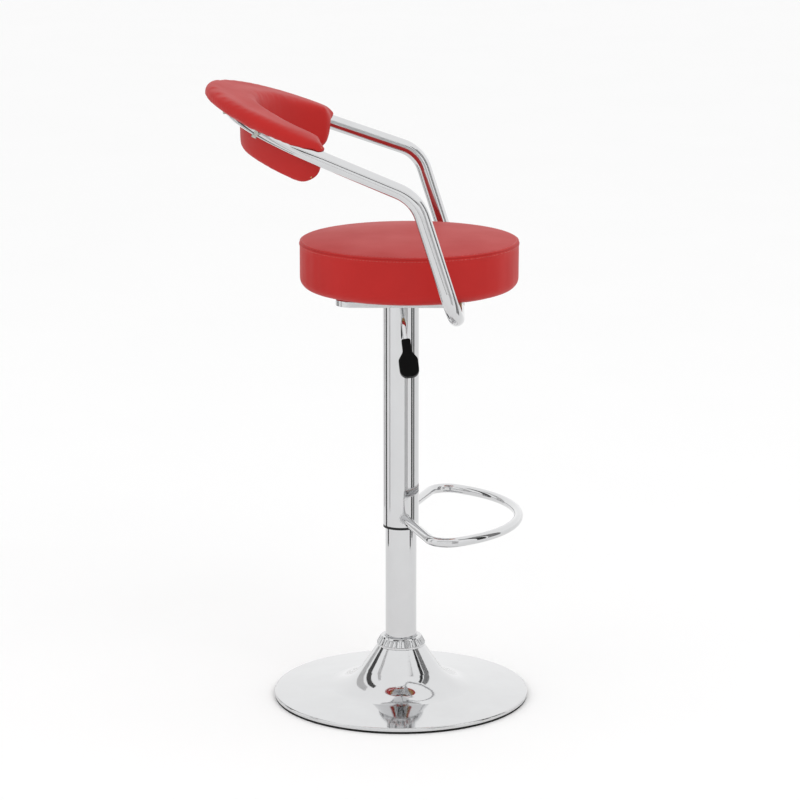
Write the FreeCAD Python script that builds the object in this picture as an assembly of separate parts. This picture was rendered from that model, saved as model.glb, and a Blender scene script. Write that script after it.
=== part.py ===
import FreeCAD
import Part
import math
import os

# Adjustable swivel stool with a horseshoe armrest. Millimetres, +Z up, origin on the floor under
# the column. The sitter faces -Y, so the sitter's right hand, with the lever, is on the -X side.
# Every part is drawn at the rest height.

# --- Base ---
BASE_DIAMETER = 410.0
BASE_RIM_TOP = 9.6          # top of the chromed rim above the floor
SEAL_HEIGHT = 4.0           # rubber ring that stands on the floor
SEAL_WIDTH = 9.0
SEAL_INSET = 0.7            # rubber stands this far inside the chromed rim
SHELL_WALL = 1.6
BASE_PLATE_THICKNESS = 5.0  # heavy steel disc that closes the base and holds the column
SKIRT_SLOPE = 5.0           # degrees, outer part of the trumpet
FLARE_SLOPE = 55.0          # degrees, upper part of the trumpet
FLARE_BLEND = 72.0          # radius between the two slopes
NECK_LEDGE = 13.0           # neck outside the column, where the collar stands
NECK_HEIGHT = 84.0

# --- Collar ring that hides the neck ---
COLLAR_HEIGHT = 16.0
COLLAR_TOP_OUT = 8.2        # collar outside the column at the top
COLLAR_BOTTOM_OUT = 13.9    # collar outside the column at the bottom
COLLAR_LIP = 3.5
COLLAR_RIBS = 30
COLLAR_RIB_RADIUS = 2.1

# --- Column ---
COLUMN_DIAMETER = 50.0
COLUMN_WALL = 2.0
COLUMN_SHORT = 17.0         # guide below the hub when the seat is lowest
FOOT_EDGE = 14.0            # foot outside the bolt circle
FOOT_THICKNESS = 6.0
FOOT_SPIGOT_HEIGHT = 12.0
FOOT_BORE_WALL = 9.0        # spigot wall
FOOT_BOLTS = 4
FOOT_BOLT_OUT = 13.0        # bolt circle outside the column
FOOT_BOLT_DIAMETER = 8.0
FOOT_NUT_ACROSS = 13.0
FOOT_NUT_HEIGHT = 6.5
GUIDE_LENGTH = 65.0
GUIDE_FLANGE = 3.0

# --- Gas spring ---
TRAVEL_DOWN = 170.0         # from the rest height to the lowest seat
TRAVEL_UP = 40.0            # from the rest height to the highest seat
CYLINDER_DIAMETER = 28.0
CYLINDER_WALL = 1.5
CYLINDER_BELOW = 19.0       # cylinder top below the plate top
TAPER_LENGTH = 30.0
TAPER_DROP = 1.0            # the taper's radius loses this much over its length
ROD_DIAMETER = 10.0
ROD_NECK_DIAMETER = 8.0
ROD_STEP = 1.5              # rod narrows this much per side inside the piston
PISTON_LENGTH = 20.0
PISTON_RING_HEIGHT = 4.0
PISTON_RING_DEPTH = 2.0
ROD_GUIDE_LENGTH = 25.0
ROD_SEAL_LENGTH = 6.0
RACE_THICKNESS = 1.0
BALL_DIAMETER = 3.0
BALL_COUNT = 10
BALL_CIRCLE = 18.0
BUMP_STOP_HEIGHT = 12.0
CLIP_THICKNESS = 1.0
CLIP_GROOVE = 0.8
VALVE_DIAMETER = 6.0
VALVE_STANDS = 5.5          # valve button above the cylinder

# --- Upper sleeve and footrest ---
SLEEVE_STEP = 3.5           # sleeve outside the column
SLEEVE_WALL = 1.5
SLEEVE_LENGTH = 362.5
BUSH_LIP = 4.0
BUSH_LENGTH = 20.0
FOOTREST_TUBE = 15.0
FOOTREST_WALL = 1.5
FOOTREST_LEVEL = 300.5
FOOTREST_REACH = 188.0      # column axis to the middle of the tube at the front
FOOTREST_SPREAD = 62.0      # degrees either side of forward that the front arc turns
FOOTREST_SIDE_SLOPE = 18.0  # degrees, side runs forward of square
FOOTREST_SIDE_START = 4.0   # side runs leave the sleeve this far forward of its axis
FOOTREST_BEND = 30.0

# --- Seat plate and lever ---
PLATE_TOP = 673.0
PLATE_SHEET = 2.0
PLATE_DEPTH = 10.5
PLATE_LENGTH = 200.0        # front to back
PLATE_WIDTH = 250.0
PLATE_CORNER = 26.0
HUB_LENGTH = 47.0           # hub below the plate top
HUB_WALL = 8.0
HUB_PLUG_HEIGHT = 22.0      # stretch that plugs the sleeve
SEAT_SCREW_SIDE = 85.0
SEAT_SCREW_FRONT = 55.0
SEAT_SCREW_BACK = 70.0
SEAT_SCREW_DIAMETER = 6.0
SEAT_SCREW_HEAD = 3.5
LEVER_DIAMETER = 8.0
LEVER_PIVOT = 36.0          # column axis to the lever's pin
LEVER_TAIL = 5.0            # lever end past the column axis
LEVER_KNEE_OUT = 136.0
LEVER_KNEE_DROP = 19.0
LEVER_FORWARD = 5.5         # knee stands this far forward of the pivot line
LEVER_TIP_OUT = 180.0
LEVER_TIP_DROP = 98.5
LEVER_TIP_FORWARD = 16.5
LEVER_BEND = 22.0
LEVER_EASE = 30.0           # radius of the slight bend at the pivot
LEVER_PIN_DIAMETER = 4.0
BRACKET_SHEET = 2.0
BRACKET_LENGTH = 16.0
GRIP_LENGTH = 61.0
GRIP_NECK = 14.0
GRIP_WIDTH = 30.0
GRIP_THICKNESS = 13.0

# --- Armrest frame ---
FRAME_TUBE = 24.0
FRAME_WALL = 1.5
ARM_SLOPE = 20.7            # degrees, arms fall towards the front
ARM_RISE = 188.0            # sloping plane above the plate top at the column axis
ARM_SPLAY = 13.5            # degrees, each arm opens outwards towards the front
ARM_HALF_WIDTH = 242.7      # at the front corners
ARM_FRONT = 28.0            # front corners ahead of the axis, along the slope
BACK_ARC = 212.6
ARM_BEND = 60.0
LEG_RAKE = 17.75            # degrees from the vertical, feet forward
LEG_BEND = 50.0
LEG_END = 82.0              # inner ends of the tube from the middle plane

# --- Seat ---
SEAT_FORWARD = 13.0
SEAT_DIAMETER = 347.0
SEAT_SIDE = 77.5            # shoulder above the plate
SEAT_CROWN = 4.0            # crown above the shoulder
SEAT_CORNER_TOP = 9.0
CROWN_EASE = 1.2            # crown falls this much before the shoulder
SEAT_CORNER_BOTTOM = 18.0
COVER_THICKNESS = 1.2
SEAM_DROP = 5.0             # seam below the shoulder
BOARD_INSET = 20.5          # board inside the cushion
BOARD_THICKNESS = 12.0
TEE_NUT_LENGTH = 8.0

# --- Back pads ---
CREST_OUTER = 218.0
CREST_OUTER_SHIFT = 111.0   # centre of the outer arc behind the axis, along the slope
CREST_FRONT = 121.0         # tips end this far behind the axis, along the slope
CREST_BOTTOM = 0.5          # above the tube's middle plane
CREST_TOP = 24.5
CREST_DIP = 1.1             # degrees the pad leans back down from its tips
CREST_EDGE = 9.0
CREST_TIP = 12.0
CREST_BOARD_THICKNESS = 4.0
CREST_BOARD_INSET = 9.0
CREST_BOARD_GAP = 0.5       # board above the tube
BACK_OUTER = 201.0
BACK_OUTER_SHIFT = 49.0     # centre of the back pad's arc behind the axis, level
BACK_THICKNESS = 26.0
BACK_FRONT = 116.0
BACK_TOP = 24.5
BACK_BOTTOM = -53.0
BACK_CORNER_LOW = 34.0
BACK_CORNER_HIGH = 15.0
BACK_BOARD_THICKNESS = 5.0
BACK_BOARD_INSET = 16.0
BACK_BOARD_COVER = 4.0      # padding behind the board
BACK_SCREW_REACH = 27.0     # from the middle of the tube to the screw's tip
PAD_SCREW_DIAMETER = 5.0
PAD_SCREW_HEAD = 3.0
PAD_SCREW_ANGLES = (-42.0, 0.0, 42.0)
BACK_SCREW_ANGLES = (-46.0, -17.0, 17.0, 46.0)

# --- Clearances ---
RUNNING = 0.05              # sliding or turning fit, per side
LOOSE = 0.4                 # bolt in its hole, per side
PAD_GAP = 0.4               # between a pad and what stands beside it
AIR = 0.3                   # between faces that pass each other
FAR = 900.0                 # longer than any part, for cutting tools

V = FreeCAD.Vector
UP = V(0, 0, 1)
ORIGIN = V(0, 0, 0)

COLUMN_RADIUS = COLUMN_DIAMETER / 2
COLUMN_BORE = COLUMN_RADIUS - COLUMN_WALL
SLEEVE_RADIUS = COLUMN_RADIUS + SLEEVE_STEP
SLEEVE_BORE = SLEEVE_RADIUS - SLEEVE_WALL
FOOT_BORE = COLUMN_BORE - FOOT_BORE_WALL
BOLT_CIRCLE_RADIUS = COLUMN_RADIUS + FOOT_BOLT_OUT
HUB_BOTTOM = PLATE_TOP - HUB_LENGTH
SLEEVE_TOP = HUB_BOTTOM + HUB_PLUG_HEIGHT
SLEEVE_BOTTOM = SLEEVE_TOP - SLEEVE_LENGTH
COLUMN_TOP = HUB_BOTTOM - TRAVEL_DOWN - GUIDE_FLANGE - COLUMN_SHORT
CYLINDER_TOP = PLATE_TOP - CYLINDER_BELOW
CYLINDER_BORE = CYLINDER_DIAMETER / 2 - CYLINDER_WALL
FOOT_BASE = SEAL_HEIGHT + BASE_PLATE_THICKNESS
FOOT_TOP = FOOT_BASE + FOOT_THICKNESS
ROD_SHOULDER = FOOT_TOP + 2 * RACE_THICKNESS + BALL_DIAMETER + 2 * RUNNING
CYLINDER_BOTTOM = ROD_SHOULDER + BUMP_STOP_HEIGHT + TRAVEL_DOWN + 1.0
PISTON_BASE = CYLINDER_BOTTOM + ROD_GUIDE_LENGTH + ROD_SEAL_LENGTH + TRAVEL_UP + 6.0
LEVER_LEVEL = CYLINDER_TOP + VALVE_STANDS + AIR + LEVER_DIAMETER / 2
PLATE_INSIDE = PLATE_TOP - PLATE_SHEET
BRACKET_OUT = BRACKET_LENGTH * 0.55
LEVER_DRIFT = BRACKET_OUT * LEVER_FORWARD / (LEVER_KNEE_OUT - LEVER_PIVOT)
BRACKET_REACH = LEVER_DIAMETER / 2 + LEVER_DRIFT + AIR
ARM_LEVEL = PLATE_TOP + ARM_RISE
SEAT_SHOULDER = PLATE_TOP + SEAT_SIDE
SEAT_CREST = SEAT_SHOULDER + SEAT_CROWN
SEAM_LEVEL = SEAT_SHOULDER - SEAM_DROP
BOARD_RADIUS = SEAT_DIAMETER / 2 - BOARD_INSET
BOARD_TOP = PLATE_TOP + BOARD_THICKNESS
BALL_LEVEL = FOOT_TOP + RACE_THICKNESS + BALL_DIAMETER / 2
CREST_BOARD_BOTTOM = FRAME_TUBE / 2 + CREST_BOARD_GAP
CREST_BOARD_TOP = CREST_BOARD_BOTTOM + CREST_BOARD_THICKNESS


# --- Shared shapes ---

def cylinder(radius, bottom, top, x=0.0, y=0.0):
    return Part.makeCylinder(radius, top - bottom, V(x, y, bottom), UP)


def ring(outer, inner, bottom, top):
    return cylinder(outer, bottom, top).cut(cylinder(inner, bottom - 1, top + 1))


def rounded_corner(before, point, after, radius):
    """Start, middle and end of the arc that rounds one corner of a path."""
    back = (before - point).normalize()
    ahead = (after - point).normalize()
    half = back.getAngle(ahead) / 2
    reach = radius / math.tan(half)
    middle = point + (back + ahead).normalize() * (radius / math.sin(half) - radius)
    return point + back * reach, middle, point + ahead * reach


def path_edges(points, radii, closed=False):
    """Straight runs joined by tangent arcs; a radius of 0 leaves a sharp corner."""
    count = len(points)
    stops = []
    for index, (point, radius) in enumerate(zip(points, radii)):
        inner = closed or 0 < index < count - 1
        if radius > 0 and inner:
            stops.append(rounded_corner(points[index - 1], point, points[(index + 1) % count], radius))
        else:
            stops.append((point, None, point))
    edges = []
    for index, (start, middle, end) in enumerate(stops):
        if middle is not None:
            edges.append(Part.Arc(start, middle, end).toShape())
        following = stops[(index + 1) % count][0]
        last = index == count - 1
        if (closed or not last) and end.distanceToPoint(following) > 1e-4:
            edges.append(Part.makeLine(end, following))
    return edges


def lathe(outline):
    """Solid of revolution about Z from corners (radius, height, rounding)."""
    points = [V(radius, 0, height) for radius, height, rounding in outline]
    edges = path_edges(points, [corner[2] for corner in outline], closed=True)
    return Part.Face(Part.Wire(edges)).revolve(ORIGIN, UP, 360)


def prism(corners, radii, bottom, top):
    """Upright solid from corners (x, y) with rounded corners."""
    points = [V(x, y, bottom) for x, y in corners]
    face = Part.Face(Part.Wire(path_edges(points, radii, closed=True)))
    return face.extrude(V(0, 0, top - bottom))


def rod_along(points, radii, radius):
    """Round bar that follows a path, as straight bars and torus arcs joined end to end."""
    bars = []
    for edge in path_edges(points, radii):
        start = edge.valueAt(edge.FirstParameter)
        tangent = edge.tangentAt(edge.FirstParameter)
        disc = Part.Face(Part.Wire(Part.makeCircle(radius, start, tangent)))
        if isinstance(edge.Curve, Part.Line):
            bars.append(disc.extrude(edge.valueAt(edge.LastParameter) - start))
        else:
            turn = math.degrees(edge.LastParameter - edge.FirstParameter)
            bars.append(disc.revolve(edge.Curve.Center, edge.Curve.Axis, turn))
    return bars[0].multiFuse(bars[1:]).removeSplitter()


def tube_along(points, radii, diameter, wall):
    outside = rod_along(points, radii, diameter / 2)
    return outside.cut(rod_along(points, radii, diameter / 2 - wall))


def hexagon(across, height):
    corner = across / math.sqrt(3)
    corners = [V(corner * math.cos(math.radians(60 * step)), corner * math.sin(math.radians(60 * step)), 0)
               for step in range(7)]
    return Part.Face(Part.makePolygon(corners)).extrude(V(0, 0, height))


def level_edges(shape, height):
    return [edge for edge in shape.Edges
            if abs(edge.BoundBox.ZMin - height) < 0.01 and abs(edge.BoundBox.ZMax - height) < 0.01]


def on_slope(along, across, rise):
    """Point given along the arm plane (forward positive), across it, and above it."""
    slope = math.radians(ARM_SLOPE)
    forward = along * math.cos(slope) + rise * math.sin(slope)
    height = ARM_LEVEL - along * math.sin(slope) + rise * math.cos(slope)
    return V(across, -forward, height)


def laid_on_slope(shape):
    """Lay a shape drawn flat, with Z = 0 as the arm plane, on the sloping arm plane."""
    turned = shape.copy()
    turned.rotate(ORIGIN, V(1, 0, 0), ARM_SLOPE)
    turned.translate(V(0, 0, ARM_LEVEL))
    return turned


def write(name, shape):
    solids = shape.Solids
    kept = solids[0] if len(solids) == 1 else Part.makeCompound(solids)
    kept.exportStep(f"parts/{name}.step")
    print(f"{name:22s} solids {len(solids):2d}  volume {kept.Volume / 1000:9.2f} cm3  valid {kept.isValid()}")


# --- Base ---

def trumpet_corners(offset):
    """Corners of the trumpet's profile, drawn in by offset, from the rim up to the neck."""
    skirt = math.radians(SKIRT_SLOPE)
    flare = math.radians(FLARE_SLOPE)
    rim = BASE_DIAMETER / 2 - offset
    rim_top = BASE_RIM_TOP - offset / math.cos(skirt) + offset * math.tan(skirt)
    neck_top = NECK_HEIGHT - offset
    neck = COLUMN_RADIUS + NECK_LEDGE - offset / math.sin(flare) + offset / math.tan(flare)
    top = neck_top + neck * math.tan(flare)
    meet = (top - rim_top - rim * math.tan(skirt)) / (math.tan(flare) - math.tan(skirt))
    meet_height = rim_top + (rim - meet) * math.tan(skirt)
    return [(rim, rim_top), (meet, meet_height), (neck, neck_top)]


def make_base_shell():
    outer = trumpet_corners(0.0)
    inner = trumpet_corners(SHELL_WALL)
    hole = COLUMN_RADIUS + LOOSE
    outline = [
        (outer[0][0], SEAL_HEIGHT, 0.0),
        (outer[0][0], outer[0][1], 2.4),
        (outer[1][0], outer[1][1], FLARE_BLEND),
        (outer[2][0], outer[2][1], 0.0),
        (hole, outer[2][1], 0.0),
        (hole, inner[2][1], 0.0),
        (inner[2][0], inner[2][1], 0.0),
        (inner[1][0], inner[1][1], FLARE_BLEND + SHELL_WALL),
        (inner[0][0], inner[0][1], 0.8),
        (inner[0][0], SEAL_HEIGHT, 0.0),
    ]
    return lathe(outline)


def bolt_places():
    for index in range(FOOT_BOLTS):
        angle = math.radians(360 / FOOT_BOLTS * (index + 0.5))
        yield BOLT_CIRCLE_RADIUS * math.cos(angle), BOLT_CIRCLE_RADIUS * math.sin(angle)


def foot_bolt_head(x, y, growth):
    """Countersunk head under the base plate."""
    radius = FOOT_BOLT_DIAMETER / 2 + growth
    return Part.makeCone(2 * radius, radius, radius, V(x, y, SEAL_HEIGHT), UP)


def make_base_plate():
    plate = cylinder(BASE_DIAMETER / 2 - SHELL_WALL, SEAL_HEIGHT, FOOT_BASE)
    inside = trumpet_corners(SHELL_WALL)
    room = lathe([
        (0, SEAL_HEIGHT - 1, 0), (inside[0][0], SEAL_HEIGHT - 1, 0), (inside[0][0], inside[0][1], 0.8),
        (inside[1][0], inside[1][1], FLARE_BLEND + SHELL_WALL), (0, inside[2][1], 0),
    ])
    plate = plate.common(room)
    plate = plate.cut(cylinder(FOOT_BORE, SEAL_HEIGHT - 1, FOOT_BASE + 1))
    for x, y in bolt_places():
        plate = plate.cut(cylinder(FOOT_BOLT_DIAMETER / 2 + LOOSE, SEAL_HEIGHT - 1, FOOT_BASE + 1, x, y))
        plate = plate.cut(foot_bolt_head(x, y, LOOSE))
    return plate


def make_base_rim_seal():
    outer = BASE_DIAMETER / 2 - SEAL_INSET
    inner = outer - SEAL_WIDTH
    return lathe([(inner, 0, 1.0), (outer, 0, 1.2), (outer, SEAL_HEIGHT, 0), (inner, SEAL_HEIGHT, 0)])


def make_collar_ring():
    bottom = NECK_HEIGHT
    top = bottom + COLLAR_HEIGHT
    bore = COLUMN_RADIUS + RUNNING
    low = COLUMN_RADIUS + COLLAR_BOTTOM_OUT
    high = COLUMN_RADIUS + COLLAR_TOP_OUT
    root = COLLAR_RIB_RADIUS * 0.7
    body = lathe([
        (bore, bottom, 0), (low, bottom, 0.8), (low, bottom + COLLAR_LIP, 0.6),
        (low - root, bottom + COLLAR_LIP + 0.4, 0), (high - root, top - COLLAR_LIP, 0),
        (high, top - COLLAR_LIP + 0.6, 0.4), (high - 1.4, top, 0.8), (bore + 3.0, top, 0),
        (bore, top - 3.0, 0),
    ])
    ribs = []
    for index in range(COLLAR_RIBS):
        start = V(low - root, 0, bottom + COLLAR_LIP - 0.4)
        end = V(high - root, 0, top - COLLAR_LIP + 0.7)
        rib = Part.makeCylinder(COLLAR_RIB_RADIUS, (end - start).Length, start, end - start)
        rib.rotate(ORIGIN, UP, 360 / COLLAR_RIBS * index)
        ribs.append(rib)
    return body.multiFuse(ribs)


def make_column_foot():
    foot = cylinder(BOLT_CIRCLE_RADIUS + FOOT_EDGE, FOOT_BASE, FOOT_TOP)
    foot = foot.fuse(ring(COLUMN_BORE, FOOT_BORE, FOOT_TOP, FOOT_TOP + FOOT_SPIGOT_HEIGHT))
    foot = foot.cut(cylinder(ROD_NECK_DIAMETER / 2 + RUNNING, FOOT_BASE - 1, FOOT_TOP + 1))
    for x, y in bolt_places():
        foot = foot.cut(cylinder(FOOT_BOLT_DIAMETER / 2 + LOOSE, FOOT_BASE - 1, FOOT_TOP + 1, x, y))
    return foot


def make_foot_bolts():
    bolts = []
    for x, y in bolt_places():
        shank = cylinder(FOOT_BOLT_DIAMETER / 2, SEAL_HEIGHT, FOOT_TOP + FOOT_NUT_HEIGHT + 2, x, y)
        bolts.append(shank.fuse(foot_bolt_head(x, y, 0.0)))
    return Part.makeCompound(bolts)


def make_foot_nuts():
    nuts = []
    for x, y in bolt_places():
        nut = hexagon(FOOT_NUT_ACROSS, FOOT_NUT_HEIGHT)
        nut.translate(V(x, y, FOOT_TOP))
        nuts.append(nut.cut(cylinder(FOOT_BOLT_DIAMETER / 2, FOOT_TOP - 1, FOOT_TOP + 20, x, y)))
    return Part.makeCompound(nuts)


def make_lower_column():
    return ring(COLUMN_RADIUS, COLUMN_BORE, FOOT_TOP, COLUMN_TOP)


def make_guide_bush():
    bore = CYLINDER_DIAMETER / 2 + RUNNING
    body = ring(COLUMN_BORE, bore, COLUMN_TOP - GUIDE_LENGTH, COLUMN_TOP)
    return body.fuse(ring(COLUMN_RADIUS - PAD_GAP, bore, COLUMN_TOP, COLUMN_TOP + GUIDE_FLANGE))


# --- Thrust bearing and gas spring ---

def make_lower_race():
    return ring(FOOT_BORE - AIR, ROD_DIAMETER / 2, FOOT_TOP, FOOT_TOP + RACE_THICKNESS)


def ball_places():
    for index in range(BALL_COUNT):
        angle = 2 * math.pi * index / BALL_COUNT
        yield BALL_CIRCLE / 2 * math.cos(angle), BALL_CIRCLE / 2 * math.sin(angle)


def make_bearing_balls():
    balls = [Part.makeSphere(BALL_DIAMETER / 2, V(x, y, BALL_LEVEL)) for x, y in ball_places()]
    return Part.makeCompound(balls)


def make_bearing_cage():
    half = BALL_DIAMETER * 0.22
    middle = BALL_CIRCLE / 2
    cage = ring(middle + BALL_DIAMETER, middle - BALL_DIAMETER, BALL_LEVEL - half, BALL_LEVEL + half)
    for x, y in ball_places():
        cage = cage.cut(cylinder(BALL_DIAMETER / 2 + RUNNING, BALL_LEVEL - 2, BALL_LEVEL + 2, x, y))
    return cage


def make_upper_race():
    bore = ROD_NECK_DIAMETER / 2 + RUNNING
    return ring(FOOT_BORE - AIR, bore, ROD_SHOULDER - RACE_THICKNESS, ROD_SHOULDER)


def rod_clip_ring():
    top = FOOT_BASE - AIR
    return ring(ROD_NECK_DIAMETER, ROD_NECK_DIAMETER / 2 - CLIP_GROOVE, top - CLIP_THICKNESS, top)


def make_piston_rod():
    neck = cylinder(ROD_NECK_DIAMETER / 2, FOOT_BASE - 3 * CLIP_THICKNESS, ROD_SHOULDER)
    stem = cylinder(ROD_DIAMETER / 2, ROD_SHOULDER, PISTON_BASE)
    tip = cylinder(ROD_DIAMETER / 2 - ROD_STEP, PISTON_BASE, PISTON_BASE + PISTON_LENGTH)
    return neck.cut(rod_clip_ring()).fuse(stem).fuse(tip)


def make_rod_clip():
    gap = ROD_NECK_DIAMETER * 0.7
    slot = Part.makeBox(2 * ROD_NECK_DIAMETER, gap, 10, V(0, -gap / 2, FOOT_BASE - 5))
    return rod_clip_ring().cut(slot)


def make_bump_stop():
    return ring(FOOT_BORE - 1.0, ROD_DIAMETER / 2, ROD_SHOULDER, ROD_SHOULDER + BUMP_STOP_HEIGHT)


def piston_groove(outer):
    low = PISTON_BASE + (PISTON_LENGTH - PISTON_RING_HEIGHT) / 2
    return ring(outer, CYLINDER_BORE - PISTON_RING_DEPTH, low, low + PISTON_RING_HEIGHT)


def make_piston():
    top = PISTON_BASE + PISTON_LENGTH
    body = ring(CYLINDER_BORE - RUNNING, ROD_DIAMETER / 2 - ROD_STEP, PISTON_BASE, top)
    return body.cut(piston_groove(CYLINDER_BORE + 1))


def make_piston_ring():
    return piston_groove(CYLINDER_BORE - RUNNING)


def make_rod_guide():
    low = CYLINDER_BOTTOM + 1
    return ring(CYLINDER_BORE, ROD_DIAMETER / 2 + RUNNING, low, low + ROD_GUIDE_LENGTH)


def make_rod_seal():
    low = CYLINDER_BOTTOM + 1 + ROD_GUIDE_LENGTH
    return ring(CYLINDER_BORE, ROD_DIAMETER / 2 + RUNNING, low, low + ROD_SEAL_LENGTH)


def cylinder_outline():
    """Solid form of the gas cylinder and its taper."""
    radius = CYLINDER_DIAMETER / 2
    straight = cylinder(radius, CYLINDER_BOTTOM, CYLINDER_TOP - TAPER_LENGTH)
    taper = Part.makeCone(radius, radius - TAPER_DROP, TAPER_LENGTH, V(0, 0, CYLINDER_TOP - TAPER_LENGTH), UP)
    return straight.fuse(taper)


def make_gas_cylinder():
    body = cylinder_outline()
    body = body.cut(cylinder(CYLINDER_BORE, CYLINDER_BOTTOM - 1, CYLINDER_TOP - TAPER_LENGTH))
    return body.cut(cylinder(VALVE_DIAMETER / 2 + RUNNING, CYLINDER_TOP - TAPER_LENGTH - 1, CYLINDER_TOP + 1))


def make_valve_button():
    return cylinder(VALVE_DIAMETER / 2, CYLINDER_TOP - TAPER_LENGTH + 2, CYLINDER_TOP + VALVE_STANDS)


# --- Sleeve and footrest ---

def make_upper_sleeve():
    return ring(SLEEVE_RADIUS, SLEEVE_BORE, SLEEVE_BOTTOM, SLEEVE_TOP)


def make_sleeve_bush():
    bore = COLUMN_RADIUS + RUNNING
    lip = ring(SLEEVE_RADIUS, bore, SLEEVE_BOTTOM - BUSH_LIP, SLEEVE_BOTTOM)
    return lip.fuse(ring(SLEEVE_BORE, bore, SLEEVE_BOTTOM, SLEEVE_BOTTOM + BUSH_LENGTH - BUSH_LIP))


def footrest_path():
    """Loop from one side of the sleeve round the front to the other side."""
    slope = math.radians(FOOTREST_SIDE_SLOPE)
    spread = math.radians(FOOTREST_SPREAD)
    start_out = SLEEVE_RADIUS - FOOTREST_TUBE / 2
    start = (FOOTREST_SIDE_START, start_out)
    run = (FOOTREST_REACH - start[0] * math.cos(spread) - start[1] * math.sin(spread))
    run /= math.sin(slope) * math.cos(spread) + math.cos(slope) * math.sin(spread)
    corner = (start[0] + run * math.sin(slope), start[1] + run * math.cos(slope))
    apex = (FOOTREST_REACH / math.cos(spread), 0.0)
    places = [start, corner, apex, (corner[0], -corner[1]), (start[0], -start[1])]
    return [V(across, -forward, FOOTREST_LEVEL) for forward, across in places]


def make_footrest():
    radii = [0, FOOTREST_BEND, FOOTREST_REACH, FOOTREST_BEND, 0]
    loop = tube_along(footrest_path(), radii, FOOTREST_TUBE, FOOTREST_WALL)
    return loop.cut(cylinder(SLEEVE_RADIUS, FOOTREST_LEVEL - FOOTREST_TUBE, FOOTREST_LEVEL + FOOTREST_TUBE))


# --- Seat plate and lever ---

def seat_screw_places():
    for x in (-SEAT_SCREW_SIDE, SEAT_SCREW_SIDE):
        for y in (-SEAT_SCREW_FRONT, SEAT_SCREW_BACK):
            yield x, y


def plate_block(inset, bottom, top):
    x = PLATE_WIDTH / 2 - inset
    y = PLATE_LENGTH / 2 - inset
    corner = PLATE_CORNER - inset
    return prism([(-x, -y), (x, -y), (x, y), (-x, y)], [corner] * 4, bottom, top)


def make_seat_plate():
    bottom = PLATE_TOP - PLATE_DEPTH
    block = plate_block(0.0, bottom, PLATE_TOP)
    rim = [edge for edge in block.Edges if edge.BoundBox.ZMin > PLATE_TOP - 0.01]
    block = block.makeFillet(3.0, rim)
    plate = block.cut(plate_block(PLATE_SHEET, bottom - 1, PLATE_INSIDE))
    plate = plate.cut(frame_bar(FRAME_TUBE / 2))
    for x, y in seat_screw_places():
        plate = plate.cut(cylinder(SEAT_SCREW_DIAMETER / 2 + LOOSE, PLATE_INSIDE - 1, PLATE_TOP + 1, x, y))
    return plate


def make_taper_hub():
    hub = cylinder(SLEEVE_BORE, HUB_BOTTOM, SLEEVE_TOP)
    hub = hub.fuse(cylinder(CYLINDER_DIAMETER / 2 + HUB_WALL, SLEEVE_TOP, PLATE_INSIDE))
    hub = hub.cut(cylinder_outline())
    hub = hub.cut(cylinder(CYLINDER_DIAMETER / 2, CYLINDER_TOP, PLATE_INSIDE + 1))
    window = Part.makeBox(SLEEVE_RADIUS * 2, LEVER_DIAMETER + 4, PLATE_INSIDE - CYLINDER_TOP,
                          V(-SLEEVE_RADIUS * 2, -LEVER_DIAMETER / 2 - 2, CYLINDER_TOP))
    return hub.cut(window)


def lever_path():
    return [
        V(LEVER_TAIL, 0, LEVER_LEVEL),
        V(-LEVER_PIVOT, 0, LEVER_LEVEL),
        V(-LEVER_KNEE_OUT, -LEVER_FORWARD, LEVER_LEVEL - LEVER_KNEE_DROP),
        V(-LEVER_TIP_OUT, -LEVER_TIP_FORWARD, LEVER_LEVEL - LEVER_TIP_DROP),
    ]


def lever_pin_bar(radius, reach):
    return Part.makeCylinder(radius, 2 * reach, V(-LEVER_PIVOT, -reach, LEVER_LEVEL), V(0, 1, 0))


def lever_bar():
    """Bent rod that stops inside the grip, short of the tip."""
    tip = lever_path()[-1]
    along = (lever_path()[-2] - tip).normalize()
    bar = rod_along(lever_path(), [0, LEVER_EASE, LEVER_BEND, 0], LEVER_DIAMETER / 2)
    return bar.cut(Part.makeCylinder(LEVER_DIAMETER, GRIP_LENGTH * 0.25, tip, along))


def make_lever_rod():
    return lever_bar().cut(lever_pin_bar(LEVER_PIN_DIAMETER / 2 + RUNNING, LEVER_DIAMETER))


def make_lever_grip():
    """Spade-shaped grip: a narrow neck that widens to a flat rounded paddle."""
    neck = GRIP_NECK / 2
    wide = GRIP_WIDTH / 2
    throat = GRIP_LENGTH * 0.66
    shoulder = GRIP_LENGTH * 0.46
    outline = [(-neck, GRIP_LENGTH), (neck, GRIP_LENGTH), (neck, throat), (wide, shoulder),
               (wide, 0), (-wide, 0), (-wide, shoulder), (-neck, throat)]
    radii = [3, 3, 12, 8, 12, 12, 8, 12]
    half = GRIP_THICKNESS / 2
    paddle = prism(outline, radii, -half, half)
    paddle = paddle.makeFillet(2.5, level_edges(paddle, -half) + level_edges(paddle, half))
    path = lever_path()
    along = (path[-2] - path[-1]).normalize()
    side = V(0, -1, 0)
    side = (side - along * side.dot(along)).normalize()
    face = side.cross(along)
    place = FreeCAD.Matrix(side.x, along.x, face.x, path[-1].x,
                           side.y, along.y, face.y, path[-1].y,
                           side.z, along.z, face.z, path[-1].z,
                           0, 0, 0, 1)
    return paddle.transformGeometry(place).cut(lever_bar())


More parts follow.
